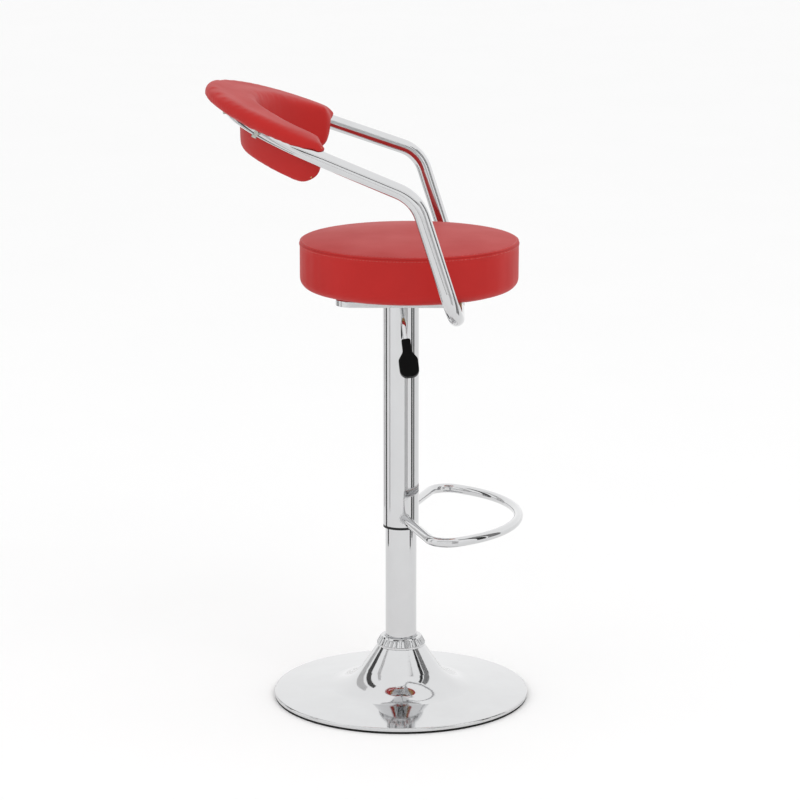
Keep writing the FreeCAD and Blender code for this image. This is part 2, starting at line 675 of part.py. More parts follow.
def make_lever_bracket():
    """Two cheeks under the plate that carry the lever's pin."""
    cheeks = []
    bottom = LEVER_LEVEL - LEVER_DIAMETER * 0.7
    for side in (-1, 1):
        start = BRACKET_REACH if side > 0 else -BRACKET_REACH - BRACKET_SHEET
        cheek = Part.makeBox(BRACKET_LENGTH, BRACKET_SHEET, PLATE_INSIDE - bottom,
                             V(-LEVER_PIVOT - BRACKET_OUT, start, bottom))
        cheeks.append(cheek.cut(lever_pin_bar(LEVER_PIN_DIAMETER / 2, 20)))
    return Part.makeCompound(cheeks)


def make_lever_pin():
    return lever_pin_bar(LEVER_PIN_DIAMETER / 2, BRACKET_REACH + BRACKET_SHEET + 1.5)


# --- Armrest frame ---

def frame_path():
    splay = math.radians(ARM_SPLAY)
    rake = math.radians(LEG_RAKE)
    apex_along = ARM_FRONT - ARM_HALF_WIDTH / math.tan(splay)
    corner = on_slope(ARM_FRONT, ARM_HALF_WIDTH, 0)
    low = PLATE_TOP - PAD_GAP - FRAME_TUBE / 2
    knee = V(corner.x, corner.y - (corner.z - low) * math.tan(rake), low)
    end = V(LEG_END, knee.y, low)
    right = [end, knee, corner]
    left = [V(-point.x, point.y, point.z) for point in reversed(right)]
    return right + [on_slope(apex_along, 0, 0)] + left


def frame_bar(radius):
    return rod_along(frame_path(), [0, LEG_BEND, ARM_BEND, BACK_ARC, ARM_BEND, LEG_BEND, 0], radius)


def arc_centre():
    """Centre of the tube's back arc along the slope; negative is behind the axis."""
    splay = math.radians(ARM_SPLAY)
    return ARM_FRONT - ARM_HALF_WIDTH / math.tan(splay) + BACK_ARC / math.sin(splay)


def on_back_arc(angle, rise):
    """Point over the middle of the tube, at an angle from the very back."""
    turn = math.radians(angle)
    return on_slope(arc_centre() - BACK_ARC * math.cos(turn), BACK_ARC * math.sin(turn), rise)


def crest_screw_bars(radius, low, high):
    """Bars square to the arm plane through the tube's back arc."""
    normal = on_slope(0, 0, 1) - on_slope(0, 0, 0)
    return [Part.makeCylinder(radius, high - low, on_back_arc(angle, low), normal)
            for angle in PAD_SCREW_ANGLES]


def back_screw_bars(radius, inward, outward):
    """Level bars through the tube towards the axis of the back pad's arc."""
    bars = []
    for angle in BACK_SCREW_ANGLES:
        middle = on_back_arc(angle, 0)
        outwards = (middle - V(0, BACK_OUTER_SHIFT, middle.z)).normalize()
        bars.append(Part.makeCylinder(radius, inward + outward, middle - outwards * inward, outwards))
    return bars


def make_frame_tube():
    tube = frame_bar(FRAME_TUBE / 2).cut(frame_bar(FRAME_TUBE / 2 - FRAME_WALL))
    hole = PAD_SCREW_DIAMETER / 2 + LOOSE
    half = FRAME_TUBE / 2 + 2
    for bar in crest_screw_bars(hole, -half, half) + back_screw_bars(hole, half, half):
        tube = tube.cut(bar)
    return tube


# --- Seat ---

def seat_outline(inset, bottom):
    """Corners of the cushion's profile, drawn in by inset."""
    side = SEAT_DIAMETER / 2 - inset
    top_round = SEAT_CORNER_TOP - inset * 0.5
    return [
        (0, bottom, 0), (side, bottom, SEAT_CORNER_BOTTOM - inset), (side, SEAT_SHOULDER - inset, top_round),
        (side * 0.72, SEAT_CREST - CROWN_EASE - inset, 60.0), (0, SEAT_CREST - inset, 0),
    ]


def seat_form(inset, bottom):
    form = lathe(seat_outline(inset, bottom))
    form.translate(V(0, -SEAT_FORWARD, 0))
    return form


def seat_cylinder(radius, bottom, top):
    return cylinder(radius, bottom, top, 0, -SEAT_FORWARD)


def make_seat_board():
    board = seat_cylinder(BOARD_RADIUS, PLATE_TOP, BOARD_TOP)
    for x, y in seat_screw_places():
        board = board.cut(cylinder(SEAT_SCREW_DIAMETER / 2 + LOOSE, PLATE_TOP - 1, PLATE_TOP + 50, x, y))
        board = board.cut(cylinder(SEAT_SCREW_DIAMETER, BOARD_TOP - TEE_NUT_LENGTH, PLATE_TOP + 50, x, y))
    return board


def make_seat_foam():
    foam = seat_form(COVER_THICKNESS, PLATE_TOP + COVER_THICKNESS)
    return foam.cut(seat_cylinder(BOARD_RADIUS, PLATE_TOP - 1, BOARD_TOP))


def seat_cover():
    skin = seat_form(0.0, PLATE_TOP).cut(seat_form(COVER_THICKNESS, PLATE_TOP + COVER_THICKNESS))
    return skin.cut(seat_cylinder(BOARD_RADIUS, PLATE_TOP - 1, BOARD_TOP))


def make_seat_cover_side():
    return seat_cover().common(seat_cylinder(SEAT_DIAMETER, PLATE_TOP - 1, SEAM_LEVEL))


def make_seat_cover_top():
    return seat_cover().common(seat_cylinder(SEAT_DIAMETER, SEAM_LEVEL, SEAT_CREST + 5))


def make_seat_screws():
    screws = []
    head_bottom = PLATE_INSIDE - SEAT_SCREW_HEAD
    for x, y in seat_screw_places():
        head = cylinder(SEAT_SCREW_DIAMETER * 0.95, head_bottom, PLATE_INSIDE, x, y)
        screws.append(head.fuse(cylinder(SEAT_SCREW_DIAMETER / 2, head_bottom, BOARD_TOP, x, y)))
    return Part.makeCompound(screws)


def make_tee_nuts():
    nuts = []
    for x, y in seat_screw_places():
        barrel = cylinder(SEAT_SCREW_DIAMETER, BOARD_TOP - TEE_NUT_LENGTH, BOARD_TOP, x, y)
        thread = cylinder(SEAT_SCREW_DIAMETER / 2, PLATE_TOP, BOARD_TOP + 1, x, y)
        nuts.append(barrel.cut(thread))
    return Part.makeCompound(nuts)


# --- Back pads ---

def crest_form(inset, bottom, top):
    """Crescent between its outer arc and the tips, drawn flat and laid on the arm plane."""
    radius = CREST_OUTER - inset
    disc = cylinder(radius, bottom, top, 0, CREST_OUTER_SHIFT)
    behind = Part.makeBox(FAR, FAR, top - bottom, V(-FAR / 2, CREST_FRONT + inset, bottom))
    return disc.common(behind)


def back_wall(radius):
    """Upright cylinder that follows the back pad's outer face."""
    return cylinder(radius, ARM_LEVEL - 150, ARM_LEVEL + 250, 0, BACK_OUTER_SHIFT)


def crest_board_form():
    board = laid_on_slope(crest_form(CREST_BOARD_INSET, CREST_BOARD_BOTTOM, CREST_BOARD_TOP))
    return board.cut(back_wall(BACK_OUTER + PAD_GAP + CREST_BOARD_INSET * 0.6))


def make_crest_board():
    board = crest_board_form()
    for bar in crest_screw_bars(PAD_SCREW_DIAMETER / 2, 0, FRAME_TUBE):
        board = board.cut(bar)
    return board


def make_crest_pad():
    """Crescent pad, hollowed for the tube, its board and the back pad's screws."""
    flat = crest_form(0.0, CREST_BOTTOM, CREST_TOP)
    tips = [edge for edge in flat.Edges
            if edge.BoundBox.ZMax - edge.BoundBox.ZMin > 1.0 and abs(edge.BoundBox.YMin - CREST_FRONT) < 0.5]
    flat = flat.makeFillet(CREST_TIP, tips)
    flat = flat.makeFillet(CREST_EDGE, level_edges(flat, CREST_TOP) + level_edges(flat, CREST_BOTTOM))
    pad = laid_on_slope(flat)
    pad.rotate(on_slope(-CREST_FRONT, 0, 0), V(1, 0, 0), -CREST_DIP)
    pad = pad.cut(back_wall(BACK_OUTER + PAD_GAP))
    pad = pad.cut(frame_bar(FRAME_TUBE / 2 + PAD_GAP)).cut(crest_board_form())
    room = FRAME_TUBE / 2 + PAD_SCREW_HEAD + PAD_GAP
    pockets = back_screw_bars(PAD_SCREW_DIAMETER * 0.95 + PAD_GAP, 0, room)
    pockets += back_screw_bars(PAD_SCREW_DIAMETER / 2 + PAD_GAP, BACK_SCREW_REACH, 0)
    for bar in crest_screw_bars(PAD_SCREW_DIAMETER / 2, 0, CREST_BOARD_TOP) + pockets:
        pad = pad.cut(bar)
    return max(pad.Solids, key=lambda solid: solid.Volume)


def screws_through_tube(heads, shanks):
    """Pan heads that sit on the tube, each joined to its shank."""
    tube = frame_bar(FRAME_TUBE / 2)
    return Part.makeCompound([head.cut(tube).fuse(shank) for head, shank in zip(heads, shanks)])


def make_crest_screws():
    seat = -FRAME_TUBE / 2
    heads = crest_screw_bars(PAD_SCREW_DIAMETER * 0.95, seat - PAD_SCREW_HEAD, seat + 0.8)
    shanks = crest_screw_bars(PAD_SCREW_DIAMETER / 2, seat - PAD_SCREW_HEAD / 2, CREST_BOARD_TOP)
    return screws_through_tube(heads, shanks)


def slope_slab(low, high):
    flat = Part.makeBox(FAR, FAR, high - low, V(-FAR / 2, -FAR / 2, low))
    return laid_on_slope(flat)


def back_band(outer, inner, low, high, front):
    """Upright curved band between two sloping planes, cut square at its front ends."""
    band = back_wall(outer).cut(back_wall(inner))
    band = band.common(Part.makeBox(FAR, FAR, FAR, V(-FAR / 2, front, ARM_LEVEL - 200)))
    return band.common(slope_slab(low, high))


def back_board_form():
    outer = BACK_OUTER - BACK_BOARD_COVER
    return back_band(outer, outer - BACK_BOARD_THICKNESS, BACK_BOTTOM + BACK_BOARD_INSET,
                     BACK_TOP - BACK_BOARD_INSET, BACK_FRONT + BACK_BOARD_INSET)


def make_back_board():
    board = back_board_form()
    for bar in back_screw_bars(PAD_SCREW_DIAMETER / 2, BACK_SCREW_REACH, 0):
        board = board.cut(bar)
    return board


def end_edges(pad):
    """Top and bottom edges of the pad's two front ends."""
    return [edge for edge in pad.Edges
            if edge.BoundBox.YMax < BACK_FRONT + 0.5 and edge.BoundBox.ZMax - edge.BoundBox.ZMin < 3.0]


def make_back_pad():
    pad = back_band(BACK_OUTER, BACK_OUTER - BACK_THICKNESS, BACK_BOTTOM, BACK_TOP, BACK_FRONT)
    middle = on_slope(-BACK_FRONT, 0, (BACK_BOTTOM + BACK_TOP) / 2).z
    pad = pad.makeFillet(BACK_CORNER_LOW, [edge for edge in end_edges(pad) if edge.CenterOfMass.z < middle])
    pad = pad.makeFillet(BACK_CORNER_HIGH, [edge for edge in end_edges(pad) if edge.CenterOfMass.z > middle])
    pad = pad.cut(back_board_form())
    for bar in back_screw_bars(PAD_SCREW_DIAMETER / 2, BACK_SCREW_REACH, 0):
        pad = pad.cut(bar)
    return pad


def make_back_screws():
    rim = FRAME_TUBE / 2
    heads = back_screw_bars(PAD_SCREW_DIAMETER * 0.95, 0.8 - rim, rim + PAD_SCREW_HEAD)
    shanks = back_screw_bars(PAD_SCREW_DIAMETER / 2, BACK_SCREW_REACH, rim + PAD_SCREW_HEAD / 2)
    return screws_through_tube(heads, shanks)


PARTS = {
    "base_shell": make_base_shell,
    "base_plate": make_base_plate,
    "base_rim_seal": make_base_rim_seal,
    "collar_ring": make_collar_ring,
    "column_foot": make_column_foot,
    "foot_bolts": make_foot_bolts,
    "foot_nuts": make_foot_nuts,
    "lower_column": make_lower_column,
    "guide_bush": make_guide_bush,
    "bearing_lower_race": make_lower_race,
    "bearing_balls": make_bearing_balls,
    "bearing_cage": make_bearing_cage,
    "bearing_upper_race": make_upper_race,
    "piston_rod": make_piston_rod,
    "rod_clip": make_rod_clip,
    "bump_stop": make_bump_stop,
    "piston": make_piston,
    "piston_ring": make_piston_ring,
    "rod_guide": make_rod_guide,
    "rod_seal": make_rod_seal,
    "gas_cylinder": make_gas_cylinder,
    "valve_button": make_valve_button,
    "upper_sleeve": make_upper_sleeve,
    "sleeve_bush": make_sleeve_bush,
    "footrest": make_footrest,
    "seat_plate": make_seat_plate,
    "taper_hub": make_taper_hub,
    "lever_rod": make_lever_rod,
    "lever_grip": make_lever_grip,
    "lever_bracket": make_lever_bracket,
    "lever_pin": make_lever_pin,
    "frame_tube": make_frame_tube,
    "seat_board": make_seat_board,
    "seat_foam": make_seat_foam,
    "seat_cover_side": make_seat_cover_side,
    "seat_cover_top": make_seat_cover_top,
    "seat_screws": make_seat_screws,
    "tee_nuts": make_tee_nuts,
    "crest_board": make_crest_board,
    "crest_pad": make_crest_pad,
    "crest_screws": make_crest_screws,
    "back_board": make_back_board,
    "back_pad": make_back_pad,
    "back_screws": make_back_screws,
}

os.makedirs("parts", exist_ok=True)
for part_name, maker in PARTS.items():
    write(part_name, maker())
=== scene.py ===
"""Looks of the adjustable swivel stool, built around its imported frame.

The metalwork keeps its own solids and gets its finishes here. The padding is remade as sewn, inflated
covers: a round seat, a crescent pad on the armrest and a curved back panel.
"""

import logging
import math
from dataclasses import dataclass, field
from enum import Enum

import bmesh
import bpy
from mathutils import Matrix, Vector, noise
from mathutils.bvhtree import BVHTree


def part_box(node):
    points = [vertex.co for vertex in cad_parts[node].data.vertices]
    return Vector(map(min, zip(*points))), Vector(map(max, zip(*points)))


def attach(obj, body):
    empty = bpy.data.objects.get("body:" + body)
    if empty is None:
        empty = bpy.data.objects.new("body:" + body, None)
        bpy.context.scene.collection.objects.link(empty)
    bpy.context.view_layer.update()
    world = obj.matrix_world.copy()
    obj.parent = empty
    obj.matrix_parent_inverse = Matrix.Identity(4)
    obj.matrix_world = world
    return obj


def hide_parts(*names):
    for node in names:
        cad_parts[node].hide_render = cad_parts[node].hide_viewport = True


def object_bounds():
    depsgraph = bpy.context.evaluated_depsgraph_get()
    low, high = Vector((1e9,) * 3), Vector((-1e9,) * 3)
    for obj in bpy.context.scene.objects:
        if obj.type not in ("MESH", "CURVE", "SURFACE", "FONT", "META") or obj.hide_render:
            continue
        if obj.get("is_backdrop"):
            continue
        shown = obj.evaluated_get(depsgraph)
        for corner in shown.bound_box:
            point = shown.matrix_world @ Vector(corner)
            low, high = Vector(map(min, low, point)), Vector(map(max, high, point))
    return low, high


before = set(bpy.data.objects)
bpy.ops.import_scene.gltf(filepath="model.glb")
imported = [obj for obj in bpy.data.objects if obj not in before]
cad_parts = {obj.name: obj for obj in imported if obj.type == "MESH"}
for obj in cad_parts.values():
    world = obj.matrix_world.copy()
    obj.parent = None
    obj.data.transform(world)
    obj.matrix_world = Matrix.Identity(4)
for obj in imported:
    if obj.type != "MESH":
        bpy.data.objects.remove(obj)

log = logging.getLogger("stool")
MM = 0.001


# --- Colour and node helpers ---

def linear(hex_colour: str) -> tuple[float, float, float, float]:
    """Turn an sRGB hex colour into linear light.

    Args:
        hex_colour: six hex digits, with or without a leading hash.

    Returns:
        Red, green, blue and an alpha of 1.
    """
    digits = hex_colour.lstrip("#")
    channels = [int(digits[start:start + 2], 16) / 255 for start in (0, 2, 4)]
    red, green, blue = (c / 12.92 if c <= 0.04045 else ((c + 0.055) / 1.055) ** 2.4 for c in channels)
    return red, green, blue, 1.0


def add_node(tree: bpy.types.NodeTree, kind: str, settings: dict | None = None,
             inputs: dict | None = None) -> bpy.types.Node:
    """Add a node with its settings, socket values and links.

    Args:
        tree: node tree that gets the node.
        kind: the node's type, such as ShaderNodeTexNoise.
        settings: attribute names and values.
        inputs: socket names or indices, each with a value or an output socket to link.

    Returns:
        The new node.
    """
    node = tree.nodes.new(kind)
    for name, value in (settings or {}).items():
        setattr(node, name, value)
    for name, value in (inputs or {}).items():
        if isinstance(value, bpy.types.NodeSocket):
            tree.links.new(value, node.inputs[name])
        else:
            node.inputs[name].default_value = value
    return node


def per_mm(spacing: float) -> float:
    """Texture scale that repeats once in so many millimetres."""
    return 1.0 / (spacing * MM)


def new_material(name: str) -> tuple[bpy.types.Material, bpy.types.NodeTree, bpy.types.Node]:
    """Start a material with an empty Principled shader.

    Args:
        name: the finish's name.

    Returns:
        The material, its node tree and its shader node.
    """
    material = bpy.data.materials.new(name)
    material.use_nodes = True
    tree = material.node_tree
    tree.nodes.clear()
    shader = add_node(tree, "ShaderNodeBsdfPrincipled")
    add_node(tree, "ShaderNodeOutputMaterial", inputs={"Surface": shader.outputs["BSDF"]})
    return material, tree, shader


# --- Finishes ---

class Worked(Enum):
    """How a metal surface was brought to its shape."""
    SPUN = "spun round the Z axis"
    DRAWN = "drawn tube"
    PRESSED = "pressed sheet"


@dataclass(frozen=True)
class ChromePlate:
    """Bright chrome plate on polished steel: a cold mirror with a trace of polishing haze."""
    name: str
    worked: Worked
    colour: str = "#D3D4D5"
    polish: float = 0.03
    haze: float = 0.04
    ripple_mm: float = 0.012

    def make(self) -> bpy.types.Material:
        """Build the material.

        Returns:
            The finished material.
        """
        material, tree, shader = new_material(self.name)
        place = add_node(tree, "ShaderNodeTexCoord")
        # Buffing leaves soft patches a few centimetres wide that are a shade hazier than the rest.
        patches = add_node(tree, "ShaderNodeTexNoise", inputs={
            "Vector": place.outputs["Object"], "Scale": per_mm(45), "Detail": 3.0, "Roughness": 0.55})
        # Fine dust and wipe marks, 3 mm apart, break the sharpest part of the reflection.
        marks = add_node(tree, "ShaderNodeTexNoise", inputs={
            "Vector": place.outputs["Object"], "Scale": per_mm(3.0), "Detail": 2.0, "Roughness": 0.6})
        both = add_node(tree, "ShaderNodeMath", {"operation": "MULTIPLY"}, {
            0: patches.outputs["Fac"], 1: marks.outputs["Fac"]})
        rough = add_node(tree, "ShaderNodeMapRange", inputs={
            "Value": both.outputs[0], "From Min": 0.12, "From Max": 0.42,
            "To Min": self.polish, "To Max": self.polish + self.haze})
        # Thin plate over steel shows a slightly warmer, darker tone where the polish is deepest.
        tone = add_node(tree, "ShaderNodeMix", {"data_type": "RGBA"}, {
            0: patches.outputs["Fac"], 6: linear("#CBCBCC"), 7: linear(self.colour)})
        shape = {Worked.SPUN: (1.0, 1.0, 9.0), Worked.DRAWN: (1.0, 1.0, 0.35),
                 Worked.PRESSED: (1.0, 1.0, 1.0)}
        stretch = add_node(tree, "ShaderNodeMapping", inputs={
            "Vector": place.outputs["Object"], "Scale": shape[self.worked]})
        # The metal itself is never dead flat: waves about 30 mm long bend straight reflections a little.
        waves = add_node(tree, "ShaderNodeTexNoise", inputs={
            "Vector": stretch.outputs["Vector"], "Scale": per_mm(30), "Detail": 1.0})
        bump = add_node(tree, "ShaderNodeBump", inputs={
            "Height": waves.outputs["Fac"], "Distance": self.ripple_mm * MM, "Strength": 1.0})
        tree.links.new(tone.outputs[2], shader.inputs["Base Color"])
        tree.links.new(rough.outputs["Result"], shader.inputs["Roughness"])
        tree.links.new(bump.outputs["Normal"], shader.inputs["Normal"])
        shader.inputs["Metallic"].default_value = 1.0
        return material


@dataclass(frozen=True)
class PlainMetal:
    """Unplated or zinc-plated steel and machined alloy: dull metal with fine working marks."""
    name: str
    colour: str
    stain: str
    rough: float
    marks_mm: float

    def make(self) -> bpy.types.Material:
        """Build the material.

        Returns:
            The finished material.
        """
        material, tree, shader = new_material(self.name)
        place = add_node(tree, "ShaderNodeTexCoord")
        clouds = add_node(tree, "ShaderNodeTexNoise", inputs={
            "Vector": place.outputs["Object"], "Scale": per_mm(14), "Detail": 4.0})
        marks = add_node(tree, "ShaderNodeTexNoise", inputs={
            "Vector": place.outputs["Object"], "Scale": per_mm(self.marks_mm), "Detail": 2.0})
        # Zinc and oil films stain the bare colour in clouds about 14 mm across.
        tone = add_node(tree, "ShaderNodeMix", {"data_type": "RGBA"}, {
            0: clouds.outputs["Fac"], 6: linear(self.stain), 7: linear(self.colour)})
        rough = add_node(tree, "ShaderNodeMapRange", inputs={
            "Value": marks.outputs["Fac"], "To Min": self.rough - 0.08, "To Max": self.rough + 0.1})
        bump = add_node(tree, "ShaderNodeBump", inputs={
            "Height": marks.outputs["Fac"], "Distance": 0.03 * MM, "Strength": 0.5})
        tree.links.new(tone.outputs[2], shader.inputs["Base Color"])
        tree.links.new(rough.outputs["Result"], shader.inputs["Roughness"])
        tree.links.new(bump.outputs["Normal"], shader.inputs["Normal"])
        shader.inputs["Metallic"].default_value = 1.0
        return material


@dataclass(frozen=True)
class Moulded:
    """Moulded plastic, moulded rubber and baked paint: an opaque skin with a fine cast texture."""
    name: str
    colour: str
    worn: str
    rough: float
    grain_mm: float
    relief_mm: float
    shine: float = 0.3

    def make(self) -> bpy.types.Material:
        """Build the material.

        Returns:
            The finished material.
        """
        material, tree, shader = new_material(self.name)
        place = add_node(tree, "ShaderNodeTexCoord")
        grain = add_node(tree, "ShaderNodeTexVoronoi", {"feature": "SMOOTH_F1"}, {
            "Vector": place.outputs["Object"], "Scale": per_mm(self.grain_mm), "Smoothness": 0.6})
        handling = add_node(tree, "ShaderNodeTexNoise", inputs={
            "Vector": place.outputs["Object"], "Scale": per_mm(18), "Detail": 3.0})
        # Dust and handling pale the surface in patches, never by more than a shade.
        tone = add_node(tree, "ShaderNodeMix", {"data_type": "RGBA"}, {
            0: handling.outputs["Fac"], 6: linear(self.colour), 7: linear(self.worn)})
        rough = add_node(tree, "ShaderNodeMapRange", inputs={
            "Value": handling.outputs["Fac"], "To Min": self.rough - 0.1, "To Max": self.rough + 0.1})
        bump = add_node(tree, "ShaderNodeBump", inputs={
            "Height": grain.outputs["Distance"], "Distance": self.relief_mm * MM, "Strength": 0.6})
        tree.links.new(tone.outputs[2], shader.inputs["Base Color"])
        tree.links.new(rough.outputs["Result"], shader.inputs["Roughness"])
        tree.links.new(bump.outputs["Normal"], shader.inputs["Normal"])
        shader.inputs["Specular IOR Level"].default_value = self.shine
        return material


@dataclass(frozen=True)
class CoatedFabric:
    """Upholstery vinyl: calendered skin on a knit, with a shallow hide grain and a soft sheen."""
    name: str
    colour: str
    shade: str
    rough: float = 0.5
    grain_mm: float = 1.5
    relief_mm: float = 0.09

    def make(self) -> bpy.types.Material:
        """Build the material.

        Returns:
            The finished material.
        """
        material, tree, shader = new_material(self.name)
        place = add_node(tree, "ShaderNodeTexCoord")
        # The embossed hide grain has pebbles about 1 mm wide. It is drawn at 1.5 mm so that it shows.
        pebbles = add_node(tree, "ShaderNodeTexVoronoi", {"feature": "SMOOTH_F1"}, {
            "Vector": place.outputs["Object"], "Scale": per_mm(self.grain_mm), "Smoothness": 0.5})
        pores = add_node(tree, "ShaderNodeTexNoise", inputs={
            "Vector": place.outputs["Object"], "Scale": per_mm(0.5), "Detail": 2.0})
        relief = add_node(tree, "ShaderNodeMix", {"data_type": "FLOAT"}, {
            0: 0.3, 2: pebbles.outputs["Distance"], 3: pores.outputs["Fac"]})
        # The pull of the cover over its foam shows as faint shade changes about 80 mm apart.
        pull = add_node(tree, "ShaderNodeTexNoise", inputs={
            "Vector": place.outputs["Object"], "Scale": per_mm(80), "Detail": 3.0, "Roughness": 0.5})
        mottle = add_node(tree, "ShaderNodeMapRange", inputs={
            "Value": pull.outputs["Fac"], "From Min": 0.3, "From Max": 0.7, "To Min": 0.0, "To Max": 0.6})
        tone = add_node(tree, "ShaderNodeMix", {"data_type": "RGBA"}, {
            0: mottle.outputs["Result"], 6: linear(self.colour), 7: linear(self.shade)})
        # Painted shade: points deep in a seam or crease are darkened towards a dark red. The sewing writes
        # how deep each point lies.
        seam_shade_depth = add_node(tree, "ShaderNodeAttribute", {"attribute_name": "seam_shade_depth"})
        seam_shaded_tone = add_node(tree, "ShaderNodeMix", {"data_type": "RGBA"}, {
            0: seam_shade_depth.outputs["Fac"], 6: tone.outputs[2], 7: linear("#5A1010")})
        gloss = add_node(tree, "ShaderNodeMapRange", inputs={
            "Value": pull.outputs["Fac"], "To Min": self.rough - 0.07, "To Max": self.rough + 0.09})
        bump = add_node(tree, "ShaderNodeBump", inputs={
            "Height": relief.outputs[0], "Distance": self.relief_mm * MM, "Strength": 0.55})
        tree.links.new(seam_shaded_tone.outputs[2], shader.inputs["Base Color"])
        tree.links.new(gloss.outputs["Result"], shader.inputs["Roughness"])
        tree.links.new(bump.outputs["Normal"], shader.inputs["Normal"])
        shader.inputs["Specular IOR Level"].default_value = 0.22
        return material


@dataclass(frozen=True)
class SewingThread:
    """Bonded polyester thread: a tight twist with a dry, slightly shiny surface."""
    name: str
    colour: str
    twist_mm: float = 0.8

    def make(self) -> bpy.types.Material:
        """Build the material.

        Returns:
            The finished material.
        """
        material, tree, shader = new_material(self.name)
        place = add_node(tree, "ShaderNodeTexCoord")
        twist = add_node(tree, "ShaderNodeTexWave", {"bands_direction": "DIAGONAL"}, {
            "Vector": place.outputs["Object"], "Scale": per_mm(self.twist_mm) / 6.3, "Distortion": 1.0})
        # Painted shade: the twist's grooves, where the bump is lowest, are coloured a darker red.
        tone = add_node(tree, "ShaderNodeMix", {"data_type": "RGBA"}, {
            0: twist.outputs["Fac"], 6: linear("#8E2320"), 7: linear(self.colour)})
        bump = add_node(tree, "ShaderNodeBump", inputs={
            "Height": twist.outputs["Fac"], "Distance": 0.1 * MM, "Strength": 0.7})
        tree.links.new(tone.outputs[2], shader.inputs["Base Color"])
        tree.links.new(bump.outputs["Normal"], shader.inputs["Normal"])
        shader.inputs["Roughness"].default_value = 0.5
        shader.inputs["Sheen Weight"].default_value = 0.3
        return material


@dataclass(frozen=True)
class Plywood:
    """Rotary-cut plywood: pale face veneer with loose long grain and a dry surface."""
    name: str
    light: str = "#C8A06A"
    dark: str = "#8E6539"
    grain_mm: float = 5.0

    def make(self) -> bpy.types.Material:
        """Build the material.

        Returns:
            The finished material.
        """
        material, tree, shader = new_material(self.name)
        place = add_node(tree, "ShaderNodeTexCoord")
        # Rings wander widely on a peeled face, so the figure runs 8 times longer than it is wide.
        along = add_node(tree, "ShaderNodeMapping", inputs={
            "Vector": place.outputs["Object"], "Scale": (0.12, 1.0, 1.0)})
        figure = add_node(tree, "ShaderNodeTexNoise", inputs={
            "Vector": along.outputs["Vector"], "Scale": per_mm(self.grain_mm), "Detail": 5.0,
            "Distortion": 1.2})
        tone = add_node(tree, "ShaderNodeMix", {"data_type": "RGBA"}, {
            0: figure.outputs["Fac"], 6: linear(self.dark), 7: linear(self.light)})
        bump = add_node(tree, "ShaderNodeBump", inputs={
            "Height": figure.outputs["Fac"], "Distance": 0.15 * MM, "Strength": 0.5})
        tree.links.new(tone.outputs[2], shader.inputs["Base Color"])
        tree.links.new(bump.outputs["Normal"], shader.inputs["Normal"])
        shader.inputs["Roughness"].default_value = 0.72
        return material


class Finishes:
    """The stool's finishes, each made once."""

    def __init__(self) -> None:
        """Make every finish."""
        self.base_chrome = ChromePlate("chrome_plate_spun_base", Worked.SPUN, polish=0.05, haze=0.05).make()
        self.tube_chrome = ChromePlate("chrome_plate_drawn_tube", Worked.DRAWN).make()
        self.trim_chrome = ChromePlate("chrome_plate_trim", Worked.PRESSED, ripple_mm=0.004).make()
        self.sheet_chrome = ChromePlate("chrome_plate_pressed_sheet", Worked.PRESSED, polish=0.09, haze=0.1,
                                        ripple_mm=0.03).make()
        self.zinc = PlainMetal("zinc_plated_steel", "#C3C6C8", "#A9A794", 0.34, 0.8).make()
        self.bearing = PlainMetal("ground_bearing_steel", "#B4B6B9", "#8E9093", 0.22, 0.3).make()
        self.alloy = PlainMetal("machined_alloy", "#D2D4D6", "#B5B7B9", 0.3, 0.5).make()
        # Baked paint lies in a fine orange peel about 1.2 mm across.
        self.black_paint = Moulded("black_baked_paint", "#0C0C0C", "#161616", 0.38, 1.2, 0.02).make()
        self.rubber = Moulded("black_moulded_rubber", "#0A0A0A", "#1B1A19", 0.68, 0.5, 0.05, 0.2).make()
        self.bush = Moulded("black_acetal_bush", "#070708", "#101011", 0.36, 0.7, 0.01).make()
        self.nylon = Moulded("natural_nylon", "#D9D5C6", "#C6C0AD", 0.42, 0.9, 0.02, 0.5).make()
        # Spark-eroded moulds give the grip a fine matt grain, drawn at 0.6 mm so that it shows.
        self.grip = Moulded("black_grip_plastic", "#020202", "#060606", 0.42, 0.6, 0.04, 0.08).make()
        self.vinyl = CoatedFabric("red_upholstery_vinyl", "#B5201D", "#A91D1A").make()
        # Painted highlight: the thread is coloured paler than the vinyl to stand in for the shine along the
        # stitches.
        self.thread = SewingThread("red_bonded_thread", "#D0584E").make()
        self.plywood = Plywood("rotary_cut_plywood").make()


def dress(node: str, material: bpy.types.Material) -> None:
    """Give a node of the frame its finish.

    Args:
        node: the node's name.
        material: its finish.
    """
    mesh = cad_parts[node].data
    mesh.materials.clear()
    mesh.materials.append(material)


# --- Mesh helpers ---

def finish_piece(shape: bmesh.types.BMesh, name: str, material: bpy.types.Material,
                 body: str) -> bpy.types.Object:
    """Turn a bmesh into a smooth-shaded piece that rides on a body.

    Args:
        shape: the modelled shape, in metres; it is freed.
        name: the piece's name.
        material: its finish.
        body: the body that carries it.

    Returns:
        The new piece.
    """
    mesh = bpy.data.meshes.new(name)
    shape.to_mesh(mesh)
    shape.free()
    for polygon in mesh.polygons:
        polygon.use_smooth = True
    mesh.materials.append(material)
    piece = bpy.data.objects.new(name, mesh)
    bpy.context.scene.collection.objects.link(piece)
    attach(piece, body)
    log.info("made %s with %d faces", name, len(mesh.polygons))
    return piece


def baked(piece: bpy.types.Object) -> None:
    """Apply all of a piece's modifiers to its mesh."""
    graph = bpy.context.evaluated_depsgraph_get()
    mesh = bpy.data.meshes.new_from_object(piece.evaluated_get(graph))
    piece.modifiers.clear()
    old = piece.data
    piece.data = mesh
    bpy.data.meshes.remove(old)
    for polygon in mesh.polygons:
        polygon.use_smooth = True


